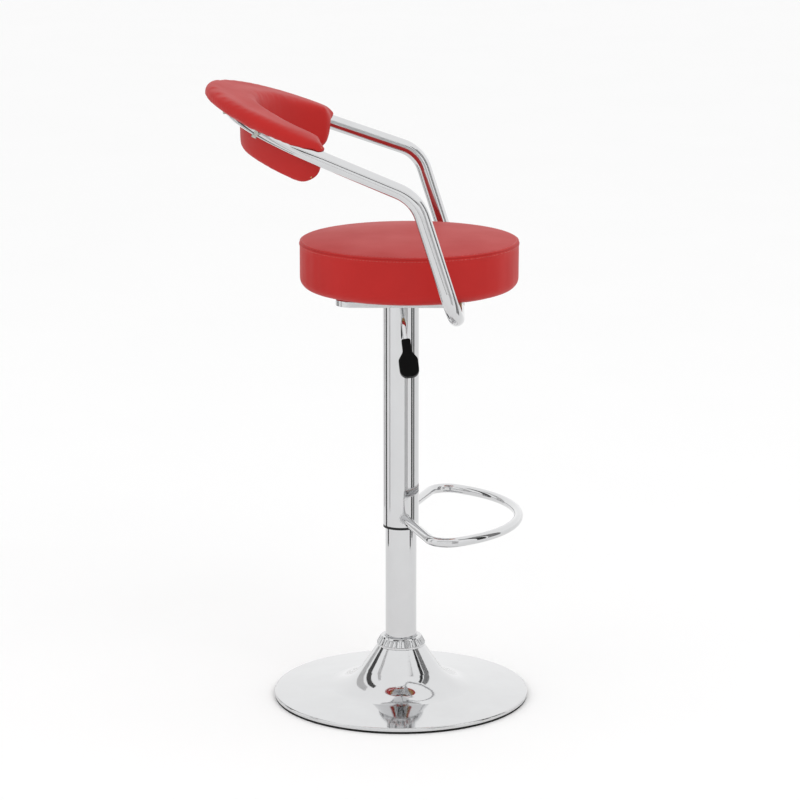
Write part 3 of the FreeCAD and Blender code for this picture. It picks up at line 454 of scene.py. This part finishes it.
def spun(outline: list[tuple[float, float]], steps: int, closed: bool) -> bmesh.types.BMesh:
    """Spin an outline of (radius, height) about the Z axis.

    Args:
        outline: points in metres.
        steps: segments in the full turn.
        closed: whether the last point joins the first.

    Returns:
        The turned shape with outward faces.
    """
    shape = bmesh.new()
    points = [shape.verts.new((radius, 0.0, height)) for radius, height in outline]
    edges = [shape.edges.new(pair) for pair in zip(points, points[1:])]
    if closed:
        edges.append(shape.edges.new((points[-1], points[0])))
    bmesh.ops.spin(shape, geom=points + edges, cent=(0, 0, 0), axis=(0, 0, 1), angle=2 * math.pi,
                   steps=steps, use_merge=True)
    bmesh.ops.remove_doubles(shape, verts=shape.verts[:], dist=1e-6)
    bmesh.ops.recalc_face_normals(shape, faces=shape.faces[:])
    return shape


def even_points(corners: list[tuple[float, float]], spacing: float) -> list[tuple[float, float]]:
    """Fill a run of corners with points no further apart than a spacing."""
    points = [corners[0]]
    for (r0, z0), (r1, z1) in zip(corners, corners[1:]):
        count = max(1, math.ceil(math.hypot(r1 - r0, z1 - z0) / spacing))
        points += [(r0 + (r1 - r0) * i / count, z0 + (z1 - z0) * i / count) for i in range(1, count + 1)]
    return points


def quarter(centre: tuple[float, float], radius: float, start: float, end: float,
            count: int) -> list[tuple[float, float]]:
    """Points of an arc in the (radius, height) plane, with angles in degrees."""
    angles = [math.radians(start + (end - start) * i / count) for i in range(count + 1)]
    return [(centre[0] + radius * math.cos(a), centre[1] + radius * math.sin(a)) for a in angles]


@dataclass
class Inflation:
    """Air pressure inside sewn covers, found by cloth simulation and capped."""
    pressure: float = 4.0
    frames: int = 20
    covers: list[tuple[bpy.types.Object, float]] = field(default_factory=list)

    def add(self, piece: bpy.types.Object, cap_mm: float, pinned: str = "") -> None:
        """Fit a cover out as cloth.

        Args:
            piece: the cover.
            cap_mm: how far a point may move.
            pinned: vertex group that stays put, if there is one.
        """
        cloth = piece.modifiers.new("inflate", "CLOTH")
        cloth.settings.quality = 5
        cloth.settings.mass = 0.35
        cloth.settings.tension_stiffness = 18
        cloth.settings.compression_stiffness = 18
        cloth.settings.shear_stiffness = 6
        cloth.settings.bending_stiffness = 0.8
        cloth.settings.use_pressure = True
        cloth.settings.uniform_pressure_force = self.pressure
        cloth.settings.effector_weights.gravity = 0.0
        cloth.settings.vertex_group_mass = pinned
        cloth.point_cache.frame_start = 1
        cloth.point_cache.frame_end = self.frames
        self.covers.append((piece, cap_mm * MM))

    def run(self) -> None:
        """Step the simulation once for all covers, cap each point's move and keep the result."""
        starts = [[vertex.co.copy() for vertex in piece.data.vertices] for piece, _ in self.covers]
        scene = bpy.context.scene
        for step in range(1, self.frames + 1):
            scene.frame_set(step)
        graph = bpy.context.evaluated_depsgraph_get()
        results = []
        for piece, _ in self.covers:
            evaluated = piece.evaluated_get(graph)
            results.append([vertex.co.copy() for vertex in evaluated.data.vertices])
        for (piece, cap), start, result in zip(self.covers, starts, results):
            piece.modifiers.clear()
            for vertex, before, after in zip(piece.data.vertices, start, result):
                move = after - before
                if move.length > cap:
                    move *= cap / move.length
                vertex.co = before + move
        scene.frame_set(1)
        log.info("inflated %d covers", len(self.covers))


def subdivided(piece: bpy.types.Object) -> None:
    """Apply one level of subdivision."""
    smooth = piece.modifiers.new("round", "SUBSURF")
    smooth.levels = 1
    smooth.render_levels = 1
    baked(piece)


def write_seam_shade(piece: bpy.types.Object, shade_depths: list[float]) -> None:
    """Store how deep each point lies in a seam or crease, from 0 to 1, for the finish to paint as shade."""
    layer = piece.data.attributes.new("seam_shade_depth", "FLOAT", "POINT")
    layer.data.foreach_set("value", shade_depths)


# --- Base and column ---

@dataclass
class Base:
    """Trumpet base, its collar and the fixed column, with the bearing inside."""
    chrome: tuple[str, ...] = ("base_shell",)
    tube: tuple[str, ...] = ("lower_column",)
    trim: tuple[str, ...] = ("collar_ring",)
    painted: tuple[str, ...] = ("base_plate",)
    plated: tuple[str, ...] = ("column_foot", "foot_bolts", "foot_nuts")
    ground: tuple[str, ...] = ("bearing_lower_race", "bearing_balls", "bearing_upper_race")

    def dress(self, finishes: Finishes) -> None:
        """Give every part of the base its finish."""
        for names, material in ((self.chrome, finishes.base_chrome), (self.tube, finishes.tube_chrome),
                                (self.trim, finishes.trim_chrome), (self.painted, finishes.black_paint),
                                (self.plated, finishes.zinc), (self.ground, finishes.bearing)):
            for name in names:
                dress(name, material)
        dress("base_rim_seal", finishes.rubber)
        dress("guide_bush", finishes.bush)
        dress("bearing_cage", finishes.nylon)
        log.info("dressed the base")


@dataclass
class GasSpring:
    """Gas spring between the foot and the seat's hub."""
    ground: tuple[str, ...] = ("piston_rod", "rod_clip", "valve_button")
    soft: tuple[str, ...] = ("bump_stop", "piston_ring", "rod_seal")

    def dress(self, finishes: Finishes) -> None:
        """Give the gas spring's parts their finishes."""
        for name in self.ground:
            dress(name, finishes.bearing)
        for name in self.soft:
            dress(name, finishes.rubber)
        dress("piston", finishes.alloy)
        dress("rod_guide", finishes.nylon)
        dress("gas_cylinder", finishes.black_paint)
        log.info("dressed the gas spring")


@dataclass
class Beads:
    """Weld beads drawn as a thin bar round each joint."""
    width_mm: float = 2.6
    swell: float = 0.12

    def around(self, name: str, points: list[Vector], material: bpy.types.Material) -> bpy.types.Object:
        """Lay one closed bead along points.

        Args:
            name: the piece's name.
            points: the bead's path, in order.
            material: its finish.

        Returns:
            The bead, riding on the upper body.
        """
        curve = bpy.data.curves.new(name, "CURVE")
        curve.dimensions = "3D"
        curve.bevel_depth = self.width_mm * MM / 2
        curve.bevel_resolution = 3
        spline = curve.splines.new("NURBS")
        spline.points.add(len(points) - 1)
        for index, (slot, point) in enumerate(zip(spline.points, points)):
            # A hand-run bead swells and thins a little every few millimetres.
            slot.co = (*point, 1.0)
            slot.radius = 1.0 + self.swell * math.sin(index * 2.4)
        spline.use_cyclic_u = True
        spline.order_u = 3
        holder = bpy.data.objects.new(name + "_path", curve)
        bpy.context.scene.collection.objects.link(holder)
        graph = bpy.context.evaluated_depsgraph_get()
        mesh = bpy.data.meshes.new_from_object(holder.evaluated_get(graph))
        bpy.data.objects.remove(holder)
        shape = bmesh.new()
        shape.from_mesh(mesh)
        bpy.data.meshes.remove(mesh)
        bmesh.ops.remove_doubles(shape, verts=shape.verts[:], dist=1e-6)
        bmesh.ops.recalc_face_normals(shape, faces=shape.faces[:])
        return finish_piece(shape, name, material, "upper")


@dataclass
class UpperTube:
    """Sliding sleeve, its bush and the footrest loop welded to it."""
    footrest_radius_mm: float = 7.5
    side_slope_deg: float = 18.0
    side_start_mm: tuple[float, float] = (4.0, 21.0)
    bead_points: int = 28

    def dress(self, finishes: Finishes) -> None:
        """Give the sleeve, bush and footrest their finishes."""
        dress("upper_sleeve", finishes.tube_chrome)
        dress("footrest", finishes.tube_chrome)
        dress("sleeve_bush", finishes.bush)
        log.info("dressed the sleeve and footrest")

    def weld(self, finishes: Finishes) -> None:
        """Run a bead round each end of the footrest where it meets the sleeve."""
        low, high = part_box("footrest")
        level = (low.z + high.z) / 2
        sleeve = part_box("upper_sleeve")
        radius = (sleeve[1].x - sleeve[0].x) / 2
        slope = math.radians(self.side_slope_deg)
        for side, name in ((-1, "footrest_weld_right"), (1, "footrest_weld_left")):
            along = Vector((side * math.cos(slope), -math.sin(slope), 0.0))
            across = Vector((0.0, 0.0, 1.0)).cross(along)
            start = Vector((side * self.side_start_mm[1] * MM, -self.side_start_mm[0] * MM, level))
            points = []
            for step in range(self.bead_points):
                turn = 2 * math.pi * step / self.bead_points
                rim = start + (across * math.cos(turn) + Vector((0, 0, 1)) * math.sin(turn)) \
                    * self.footrest_radius_mm * MM
                points.append(self.on_sleeve(rim, along, radius))
            Beads().around(name, points, finishes.tube_chrome)

    @staticmethod
    def on_sleeve(rim: Vector, along: Vector, radius: float) -> Vector:
        """Slide a point along a direction until it lies on the sleeve's wall."""
        b = rim.x * along.x + rim.y * along.y
        c = rim.x ** 2 + rim.y ** 2 - radius ** 2
        flat = along.x ** 2 + along.y ** 2
        return rim + along * ((-b + math.sqrt(max(b * b - flat * c, 0.0))) / flat)


@dataclass
class SeatCarrier:
    """Hub, plate and lever under the cushion, and the armrest tube welded to the plate."""
    plated: tuple[str, ...] = ("lever_bracket", "lever_pin", "seat_screws", "tee_nuts", "crest_screws",
                               "back_screws")
    boards: tuple[str, ...] = ("seat_board", "crest_board", "back_board")

    def dress(self, finishes: Finishes) -> None:
        """Give the carrier's parts their finishes."""
        for name in self.plated:
            dress(name, finishes.zinc)
        for name in self.boards:
            dress(name, finishes.plywood)
        dress("taper_hub", finishes.black_paint)
        dress("seat_plate", finishes.sheet_chrome)
        dress("frame_tube", finishes.tube_chrome)
        dress("lever_rod", finishes.trim_chrome)
        dress("lever_grip", finishes.grip)
        for name in ("seat_foam", "seat_cover_side", "seat_cover_top", "crest_pad", "back_pad"):
            dress(name, finishes.vinyl)
        log.info("dressed the seat carrier")


# --- Round seat cushion ---

@dataclass
class SeatCushion:
    """Round cushion with a flat top panel, a plain border and a double-stitched seam between them."""
    slack_mm: float = 1.2
    cap_mm: float = 2.0
    corner_mm: float = 8.0
    foot_corner_mm: float = 16.0
    steps: int = 192
    groove_mm: float = 0.8
    stitch_mm: float = 4.4
    stitch_gap_mm: float = 1.0
    row_mm: float = 2.9
    staple_count: int = 40
    staple_mm: tuple[float, float, float] = (10.0, 1.1, 0.6)

    def measure(self) -> None:
        """Read the cushion's place and size from the frame."""
        side_low, side_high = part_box("seat_cover_side")
        self.centre = Vector(((side_low.x + side_high.x) / 2, (side_low.y + side_high.y) / 2, 0.0))
        self.radius = (side_high.x - side_low.x) / 2
        self.bottom = side_low.z
        self.seam = side_high.z
        self.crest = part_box("seat_cover_top")[1].z
        board_low, board_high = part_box("seat_board")
        self.board_radius = (board_high.x - board_low.x) / 2
        self.board_top = board_high.z

    def outline(self) -> list[tuple[float, float]]:
        """Half section of the closed cover, from the crown down to the board's pocket."""
        slack = self.slack_mm * MM
        side = self.radius - slack
        shoulder = self.seam + 5.0 * MM - slack
        corner = self.corner_mm * MM
        foot = self.foot_corner_mm * MM
        crown = self.crest - slack
        dome = []
        for index in range(26):
            reach = (side - corner) * index / 25
            share = index / 25
            dome.append((reach, crown - (crown - shoulder - 0.4 * MM) * share ** 3.2))
        edge = quarter((side - corner, shoulder - corner), corner, 88, 0, 9)
        wall = even_points([(side, self.seam - 4.2 * MM), (side, self.bottom + foot)], 4.4 * MM)
        near = [(side, self.seam + d * MM) for d in (1.4, 0.5, -0.5, -1.4, -2.4)]
        low = quarter((side - foot, self.bottom + foot), foot, 0, -90, 7)
        pocket = self.board_radius + 0.3 * MM
        under = even_points([low[-1], (pocket, self.bottom), (pocket, self.board_top + 0.4 * MM)], 4.5 * MM)
        roof = even_points([under[-1], (0.0, self.board_top + 0.4 * MM)], 12 * MM)
        above = [point for point in edge if point[1] > self.seam + 2.2 * MM]
        return dome[:-1] + above + near + wall + low[1:] + under[1:] + roof[1:]

    def make(self, finishes: Finishes, air: Inflation) -> None:
        """Spin the cover and hand it to the simulation with its seam and underside pinned."""
        self.measure()
        shape = spun(self.outline(), self.steps, False)
        bmesh.ops.translate(shape, verts=shape.verts[:], vec=self.centre)
        self.cover = finish_piece(shape, "seat_cushion", finishes.vinyl, "upper")
        held = self.cover.vertex_groups.new(name="held")
        for vertex in self.cover.data.vertices:
            near_seam = abs(vertex.co.z - self.seam) < 3.5 * MM
            under = vertex.co.z < self.bottom + 6 * MM or self.flat_radius(vertex.co) < self.board_radius \
                and vertex.co.z < self.board_top + 2 * MM
            if near_seam or under:
                held.add([vertex.index], 1.0, "REPLACE")
        air.add(self.cover, self.cap_mm, "held")
        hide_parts("seat_foam", "seat_cover_side", "seat_cover_top")

    def flat_radius(self, point: Vector) -> float:
        """Distance of a point from the cushion's axis."""
        return math.hypot(point.x - self.centre.x, point.y - self.centre.y)

    def sew(self) -> None:
        """Draw the seam in: a groove between two rolls, with a pucker at each stitch."""
        subdivided(self.cover)
        shade_depths = []
        outer = self.radius - 16 * MM
        for vertex in self.cover.data.vertices:
            reach = self.flat_radius(vertex.co)
            shade_depths.append(0.0)
            if reach < outer or vertex.co.z < self.bottom + 3 * MM:
                continue
            turn = math.atan2(vertex.co.y - self.centre.y, vertex.co.x - self.centre.x)
            away = (vertex.co.z - self.seam) / MM
            groove = math.exp(-(away / 0.9) ** 2)
            rolls = 1.0 * math.exp(-((away - 3.4) / 2.2) ** 2) + 0.8 * math.exp(-((away + 3.4) / 2.2) ** 2)
            pucker = 0.16 * math.cos(turn * 101) * math.exp(-(abs(away) / 6.5) ** 2)
            # The border is pulled down over the board, which leaves faint upright tension lines.
            pull = noise.noise(Vector((math.cos(turn) * 14, math.sin(turn) * 14, away * 0.012)))
            border = 0.3 * pull * min(1.0, max(0.0, -away / 12))
            move = (rolls + pucker + border - self.groove_mm * groove) * MM
            outward = Vector((vertex.co.x - self.centre.x, vertex.co.y - self.centre.y, 0.0)).normalized()
            vertex.co += outward * move
            # Painted shade: the groove's depth is also kept to darken the vinyl's colour there.
            shade_depths[-1] = 0.22 * groove
        write_seam_shade(self.cover, shade_depths)

    def stitch(self, finishes: Finishes) -> None:
        """Lay two rows of stitches on the finished surface, one each side of the seam."""
        graph = bpy.context.evaluated_depsgraph_get()
        surface = BVHTree.FromObject(self.cover, graph)
        shape = bmesh.new()
        count = round(2 * math.pi * self.radius / ((self.stitch_mm + self.stitch_gap_mm) * MM))
        for row in (-1, 1):
            height = self.seam + row * self.row_mm * MM
            for index in range(count):
                turn = 2 * math.pi * (index + 0.5 * (row > 0)) / count
                outward = Vector((math.cos(turn), math.sin(turn), 0.0))
                start = self.centre + outward * (self.radius + 20 * MM) + Vector((0, 0, height))
                hit, normal, _, _ = surface.ray_cast(start, -outward)
                if hit is None:
                    continue
                side = Vector((-math.sin(turn), math.cos(turn), 0.0))
                frame_of = Matrix((side, normal.cross(side), normal)).transposed().to_4x4()
                place = Matrix.Translation(hit - normal * 0.1 * MM) @ frame_of
                size = Matrix.Diagonal((self.stitch_mm / 2 * MM, 0.42 * MM, 0.42 * MM, 1.0))
                bmesh.ops.create_uvsphere(shape, u_segments=8, v_segments=6, radius=1.0, matrix=place @ size)
        rows = finish_piece(shape, "seat_stitches", finishes.thread, "upper")

    @staticmethod
    def under_metal(point: Vector, room_mm: float) -> bool:
        """Whether a point under the board lies where the plate or the tube's foot presses on it.

        Args:
            point: the point, in metres.
            room_mm: how far the metal's outline is widened.

        Returns:
            True where nothing else fits.
        """
        room = room_mm * MM
        low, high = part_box("seat_plate")
        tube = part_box("frame_tube")[0]
        plate = abs(point.x) < high.x + room and low.y - room < point.y < high.y + room
        foot = abs(point.x) > high.x * 0.6 and tube.y - room < point.y < tube.y + 24 * MM + room
        return plate or foot

    def hem(self, finishes: Finishes) -> None:
        """Turn the cover's edge in under the board, with gathers and a ring of staples."""
        inner = self.board_radius - 13 * MM
        outer = self.board_radius + 2.5 * MM
        top = self.bottom - 0.05 * MM
        low = top - 0.8 * MM
        outline = even_points([(inner, top), (inner, low), (outer, low), (outer, top)], 3 * MM)
        shape = spun(outline, 240, True)
        for vertex in shape.verts:
            turn = math.atan2(vertex.co.y, vertex.co.x)
            reach = math.hypot(vertex.co.x, vertex.co.y)
            share = max(0.0, (outer - reach) / (outer - inner))
            ragged = noise.noise(Vector((math.cos(turn) * 9, math.sin(turn) * 9, 3.0))) * 3.5 * MM
            vertex.co.x += math.cos(turn) * ragged * share
            vertex.co.y += math.sin(turn) * ragged * share
            vertex.co.z -= max(0.0, math.sin(turn * 46)) * 0.7 * MM * share
        bmesh.ops.translate(shape, verts=shape.verts[:], vec=self.centre)
        pressed = [vertex for vertex in shape.verts if self.under_metal(vertex.co, 1.5)]
        bmesh.ops.delete(shape, geom=pressed, context="VERTS")
        bmesh.ops.holes_fill(shape, edges=[edge for edge in shape.edges if edge.is_boundary], sides=0)
        bmesh.ops.recalc_face_normals(shape, faces=shape.faces[:])
        turned = finish_piece(shape, "seat_hem", finishes.vinyl, "upper")
        wires = bmesh.new()
        for index in range(self.staple_count):
            turn = 2 * math.pi * index / self.staple_count
            reach = self.board_radius - 7 * MM
            spot = self.centre + Vector((math.cos(turn) * reach, math.sin(turn) * reach, low - 0.35 * MM))
            if self.under_metal(spot, 7):
                continue
            turned_by = Matrix.Rotation(turn + math.pi / 2 + 0.25 * math.sin(index * 1.7), 4, "Z")
            size = Matrix.Diagonal((*(side * MM for side in self.staple_mm), 1.0))
            made = bmesh.ops.create_cube(wires, size=1.0, matrix=Matrix.Translation(spot) @ turned_by @ size)
            edges = list({edge for vertex in made["verts"] for edge in vertex.link_edges})
            bmesh.ops.bevel(wires, geom=edges, offset=0.2 * MM, offset_type="OFFSET", affect="EDGES",
                            segments=1, profile=0.5, material=-1)
        staples = finish_piece(wires, "seat_staples", finishes.zinc, "upper")


# --- Pads on the armrest ---

@dataclass
class BackPads:
    """Crescent pad on the tube and curved back panel inside it, pulled into one cover."""
    voxel_mm: float = 4.0
    slack_mm: float = 0.2
    cap_mm: float = 2.2
    join_radius_mm: float = 201.2
    join_centre_mm: float = 49.0
    join_width_mm: float = 15.0
    tip_mm: float = 122.0
    body_rounds: int = 9
    join_rounds: int = 30
    tip_rounds: int = 20
    pulled_rounds: int = 4

    def near_join(self, point: Vector) -> bool:
        """Whether a point lies by the line where the crescent meets the back panel."""
        reach = math.hypot(point.x, point.y - self.join_centre_mm * MM)
        return abs(reach - self.join_radius_mm * MM) < self.join_width_mm * MM

    @staticmethod
    def keep_skin(shape: bmesh.types.BMesh) -> None:
        """Delete everything but the largest connected skin, such as the walls of a closed pocket."""
        left = set(shape.verts)
        islands = []
        while left:
            island = {left.pop()}
            front = list(island)
            while front:
                vertex = front.pop()
                for edge in vertex.link_edges:
                    other = edge.other_vert(vertex)
                    if other not in island:
                        island.add(other)
                        front.append(other)
            left -= island
            islands.append(island)
        largest = max(islands, key=len)
        spare = [vertex for island in islands if island is not largest for vertex in island]
        bmesh.ops.delete(shape, geom=spare, context="VERTS")

    @staticmethod
    def relax(shape: bmesh.types.BMesh, verts: list[bmesh.types.BMVert], rounds: int) -> None:
        """Smooth some of a shape's points over and over."""
        for _ in range(rounds):
            bmesh.ops.smooth_vert(shape, verts=verts, factor=0.5, use_axis_x=True, use_axis_y=True,
                                  use_axis_z=True)

    def make(self, finishes: Finishes, air: Inflation) -> None:
        """Remesh both pads as one cover, ease the join and draw it in before it is inflated."""
        shape = bmesh.new()
        for node in ("crest_pad", "back_pad"):
            shape.from_mesh(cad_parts[node].data)
        bmesh.ops.remove_doubles(shape, verts=shape.verts[:], dist=1e-5)
        self.cover = finish_piece(shape, "back_cushion", finishes.vinyl, "upper")
        remesh = self.cover.modifiers.new("even", "REMESH")
        remesh.mode = "VOXEL"
        remesh.voxel_size = self.voxel_mm * MM
        baked(self.cover)
        shape = bmesh.new()
        shape.from_mesh(self.cover.data)
        self.keep_skin(shape)
        self.relax(shape, shape.verts[:], self.body_rounds)
        bmesh.ops.recalc_face_normals(shape, faces=shape.faces[:])
        shape.normal_update()
        top = [vertex for vertex in shape.verts if self.near_join(vertex.co) and vertex.normal.z > 0.15]
        self.relax(shape, top, self.join_rounds)
        tips = [vertex for vertex in shape.verts if vertex.co.y < self.tip_mm * MM and vertex.normal.z > -0.5]
        self.relax(shape, tips, self.tip_rounds)
        shape.normal_update()
        for vertex in shape.verts:
            vertex.co -= vertex.normal * self.slack_mm * MM
        shape.to_mesh(self.cover.data)
        shape.free()
        air.add(self.cover, self.cap_mm)
        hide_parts("crest_pad", "back_pad")

    def pull(self) -> None:
        """Round the cover off and add the shallow pull marks that stapling leaves."""
        shape = bmesh.new()
        shape.from_mesh(self.cover.data)
        self.relax(shape, shape.verts[:], self.pulled_rounds)
        shape.to_mesh(self.cover.data)
        shape.free()
        subdivided(self.cover)
        normals = [vertex.normal.copy() for vertex in self.cover.data.vertices]
        for vertex, normal in zip(self.cover.data.vertices, normals):
            broad = noise.noise(vertex.co * 22)
            fine = noise.noise(Vector((vertex.co.x * 30, vertex.co.y * 30, vertex.co.z * 140)))
            vertex.co += normal * (0.35 * broad + 0.1 * fine) * MM
        # The pads get no painted shade: every point's seam shade depth is zero.
        write_seam_shade(self.cover, [0.0] * len(normals))


# --- Studio ---

@dataclass
class Studio:
    """White sweep, softboxes and dark flags for the chrome, and the camera."""
    camera_at: tuple[float, float, float] = (-4.8052, -0.0613, 1.5892)
    tilt_deg: float = 12.9
    heading_deg: float = -89.25
    lens_mm: float = 139.5
    # Direction of each flag in degrees about Z, its half width, its grey, and its distance in metres.
    flags: tuple[tuple[float, float, str, float], ...] = (
        (73.0, 7.0, "#545454", 0.92), (-107.0, 5.0, "#3C3C3C", 0.92), (-91.0, 8.0, "#8C8C8C", 0.98),
        (-146.0, 11.0, "#CFCFCF", 1.3), (50.0, 8.0, "#CFCFCF", 1.2), (104.0, 5.0, "#D4D4D4", 1.2))
    flag_height: float = 1.5
    # Level strips: distance towards the camera, bottom and top heights, half length, and grey.
    strips: tuple[tuple[float, float, float, float, str], ...] = (
        (-2.1, 1.52, 1.90, 2.6, "#5E5E5E"), (-2.1, 2.3, 2.42, 2.6, "#A8A8A8"),
        (-2.1, 0.30, 0.36, 2.6, "#767676"))

    def floor(self) -> None:
        """Lay a pale matt floor under the stool."""
        shape = bmesh.new()
        bmesh.ops.create_grid(shape, x_segments=1, y_segments=1, size=30.0)
        mesh = bpy.data.meshes.new("floor")
        shape.to_mesh(mesh)
        shape.free()
        floor = bpy.data.objects.new("floor", mesh)
        bpy.context.scene.collection.objects.link(floor)
        material, tree, shader = new_material("pale_studio_floor")
        place = add_node(tree, "ShaderNodeTexCoord")
        speckle = add_node(tree, "ShaderNodeTexNoise", inputs={
            "Vector": place.outputs["Object"], "Scale": per_mm(400), "Detail": 2.0})
        tone = add_node(tree, "ShaderNodeMix", {"data_type": "RGBA"}, {
            0: speckle.outputs["Fac"], 6: linear("#FAFAFA"), 7: linear("#FCFCFC")})
        tree.links.new(tone.outputs[2], shader.inputs["Base Color"])
        shader.inputs["Roughness"].default_value = 0.8
        mesh.materials.append(material)
        floor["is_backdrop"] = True

    def surround(self) -> None:
        """Light the stool from an even white tent that reflections see a little brighter."""
        world = bpy.data.worlds.new("white_tent")
        bpy.context.scene.world = world
        world.use_nodes = True
        tree = world.node_tree
        tree.nodes.clear()
        seen = add_node(tree, "ShaderNodeLightPath")
        even = add_node(tree, "ShaderNodeBackground", inputs={"Color": (1, 1, 1, 1), "Strength": 0.98})
        mirrored = add_node(tree, "ShaderNodeBackground", inputs={"Color": (1, 1, 1, 1), "Strength": 1.14})
        both = add_node(tree, "ShaderNodeMixShader", inputs={
            0: seen.outputs["Is Glossy Ray"], 1: even.outputs[0], 2: mirrored.outputs[0]})
        add_node(tree, "ShaderNodeOutputWorld", inputs={"Surface": both.outputs[0]})

    def card(self, name: str, corners: list[Vector], grey: str) -> None:
        """Hang one matt grey card that only the chrome's reflections see.

        Args:
            name: the card's name.
            corners: its corners in order.
            grey: its hex colour.
        """
        shape = bmesh.new()
        shape.faces.new([shape.verts.new(corner) for corner in corners])
        mesh = bpy.data.meshes.new(name)
        shape.to_mesh(mesh)
        shape.free()
        card = bpy.data.objects.new(name, mesh)
        bpy.context.scene.collection.objects.link(card)
        material, _, shader = new_material(name + "_paper")
        shader.inputs["Base Color"].default_value = linear(grey)
        shader.inputs["Roughness"].default_value = 1.0
        shader.inputs["Specular IOR Level"].default_value = 0.0
        mesh.materials.append(material)
        card.visible_camera = False
        card.visible_diffuse = False
        card.visible_shadow = False
        card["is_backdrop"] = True

    def hang_cards(self) -> None:
        """Stand upright flags round the stool and hang level strips beside the camera."""
        for index, (angle, half, grey, reach) in enumerate(self.flags):
            turn = math.radians(angle)
            out = Vector((math.cos(turn), math.sin(turn), 0.0))
            side = Vector((-out.y, out.x, 0.0)) * reach * math.tan(math.radians(half))
            corners = [out * reach + side * s + Vector((0, 0, z))
                       for s, z in ((-1, 0.0), (1, 0.0), (1, self.flag_height), (-1, self.flag_height))]
            self.card(f"flag_{index}", corners, grey)
        for index, (reach, low, high, half, grey) in enumerate(self.strips):
            corners = [Vector((reach, y, z))
                       for y, z in ((-half, low), (half, low), (half, high), (-half, high))]
            self.card(f"strip_{index}", corners, grey)

    def softbox(self, name: str, at: tuple[float, float, float], size: float, power: float) -> None:
        """Hang a square softbox that faces the middle of the stool.

        Args:
            name: the light's name.
            at: its place in metres.
            size: its side in metres.
            power: its power in watts.
        """
        data = bpy.data.lights.new(name, "AREA")
        data.size = size
        data.energy = power
        lamp = bpy.data.objects.new(name, data)
        lamp.visible_glossy = False
        lamp.location = at
        aim = Vector((0, 0, 0.6)) - Vector(at)
        lamp.rotation_euler = aim.to_track_quat("-Z", "Y").to_euler()
        bpy.context.scene.collection.objects.link(lamp)

    def camera(self) -> None:
        """Stand the camera on the lever's side, a little above seat height."""
        data = bpy.data.cameras.new("camera")
        data.lens = self.lens_mm
        data.sensor_width = 36.0
        data.clip_end = 60.0
        camera = bpy.data.objects.new("camera", data)
        camera.location = self.camera_at
        camera.rotation_euler = (math.radians(90 - self.tilt_deg), 0.0, math.radians(self.heading_deg))
        bpy.context.scene.collection.objects.link(camera)
        bpy.context.scene.camera = camera

    def build(self) -> None:
        """Set up floor, light and camera."""
        self.floor()
        self.surround()
        self.hang_cards()
        self.softbox("key_softbox", (-2.6, -1.8, 3.4), 2.2, 22.0)
        self.softbox("fill_softbox", (-2.2, 3.0, 2.2), 2.6, 10.0)
        self.camera()
        bpy.context.scene.view_settings.view_transform = "Standard"
        log.info("studio ready")


def main() -> None:
    """Build every sub-assembly in order."""
    logging.basicConfig(level=logging.INFO, format="%(name)s: %(message)s")
    before = tuple(corner.copy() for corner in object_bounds())
    finishes = Finishes()
    Base().dress(finishes)
    GasSpring().dress(finishes)
    tube = UpperTube()
    tube.dress(finishes)
    tube.weld(finishes)
    SeatCarrier().dress(finishes)
    air = Inflation()
    seat = SeatCushion()
    seat.make(finishes, air)
    pads = BackPads()
    pads.make(finishes, air)
    air.run()
    seat.sew()
    seat.stitch(finishes)
    seat.hem(finishes)
    pads.pull()
    Studio().build()


if __name__ == "__main__":
    main()
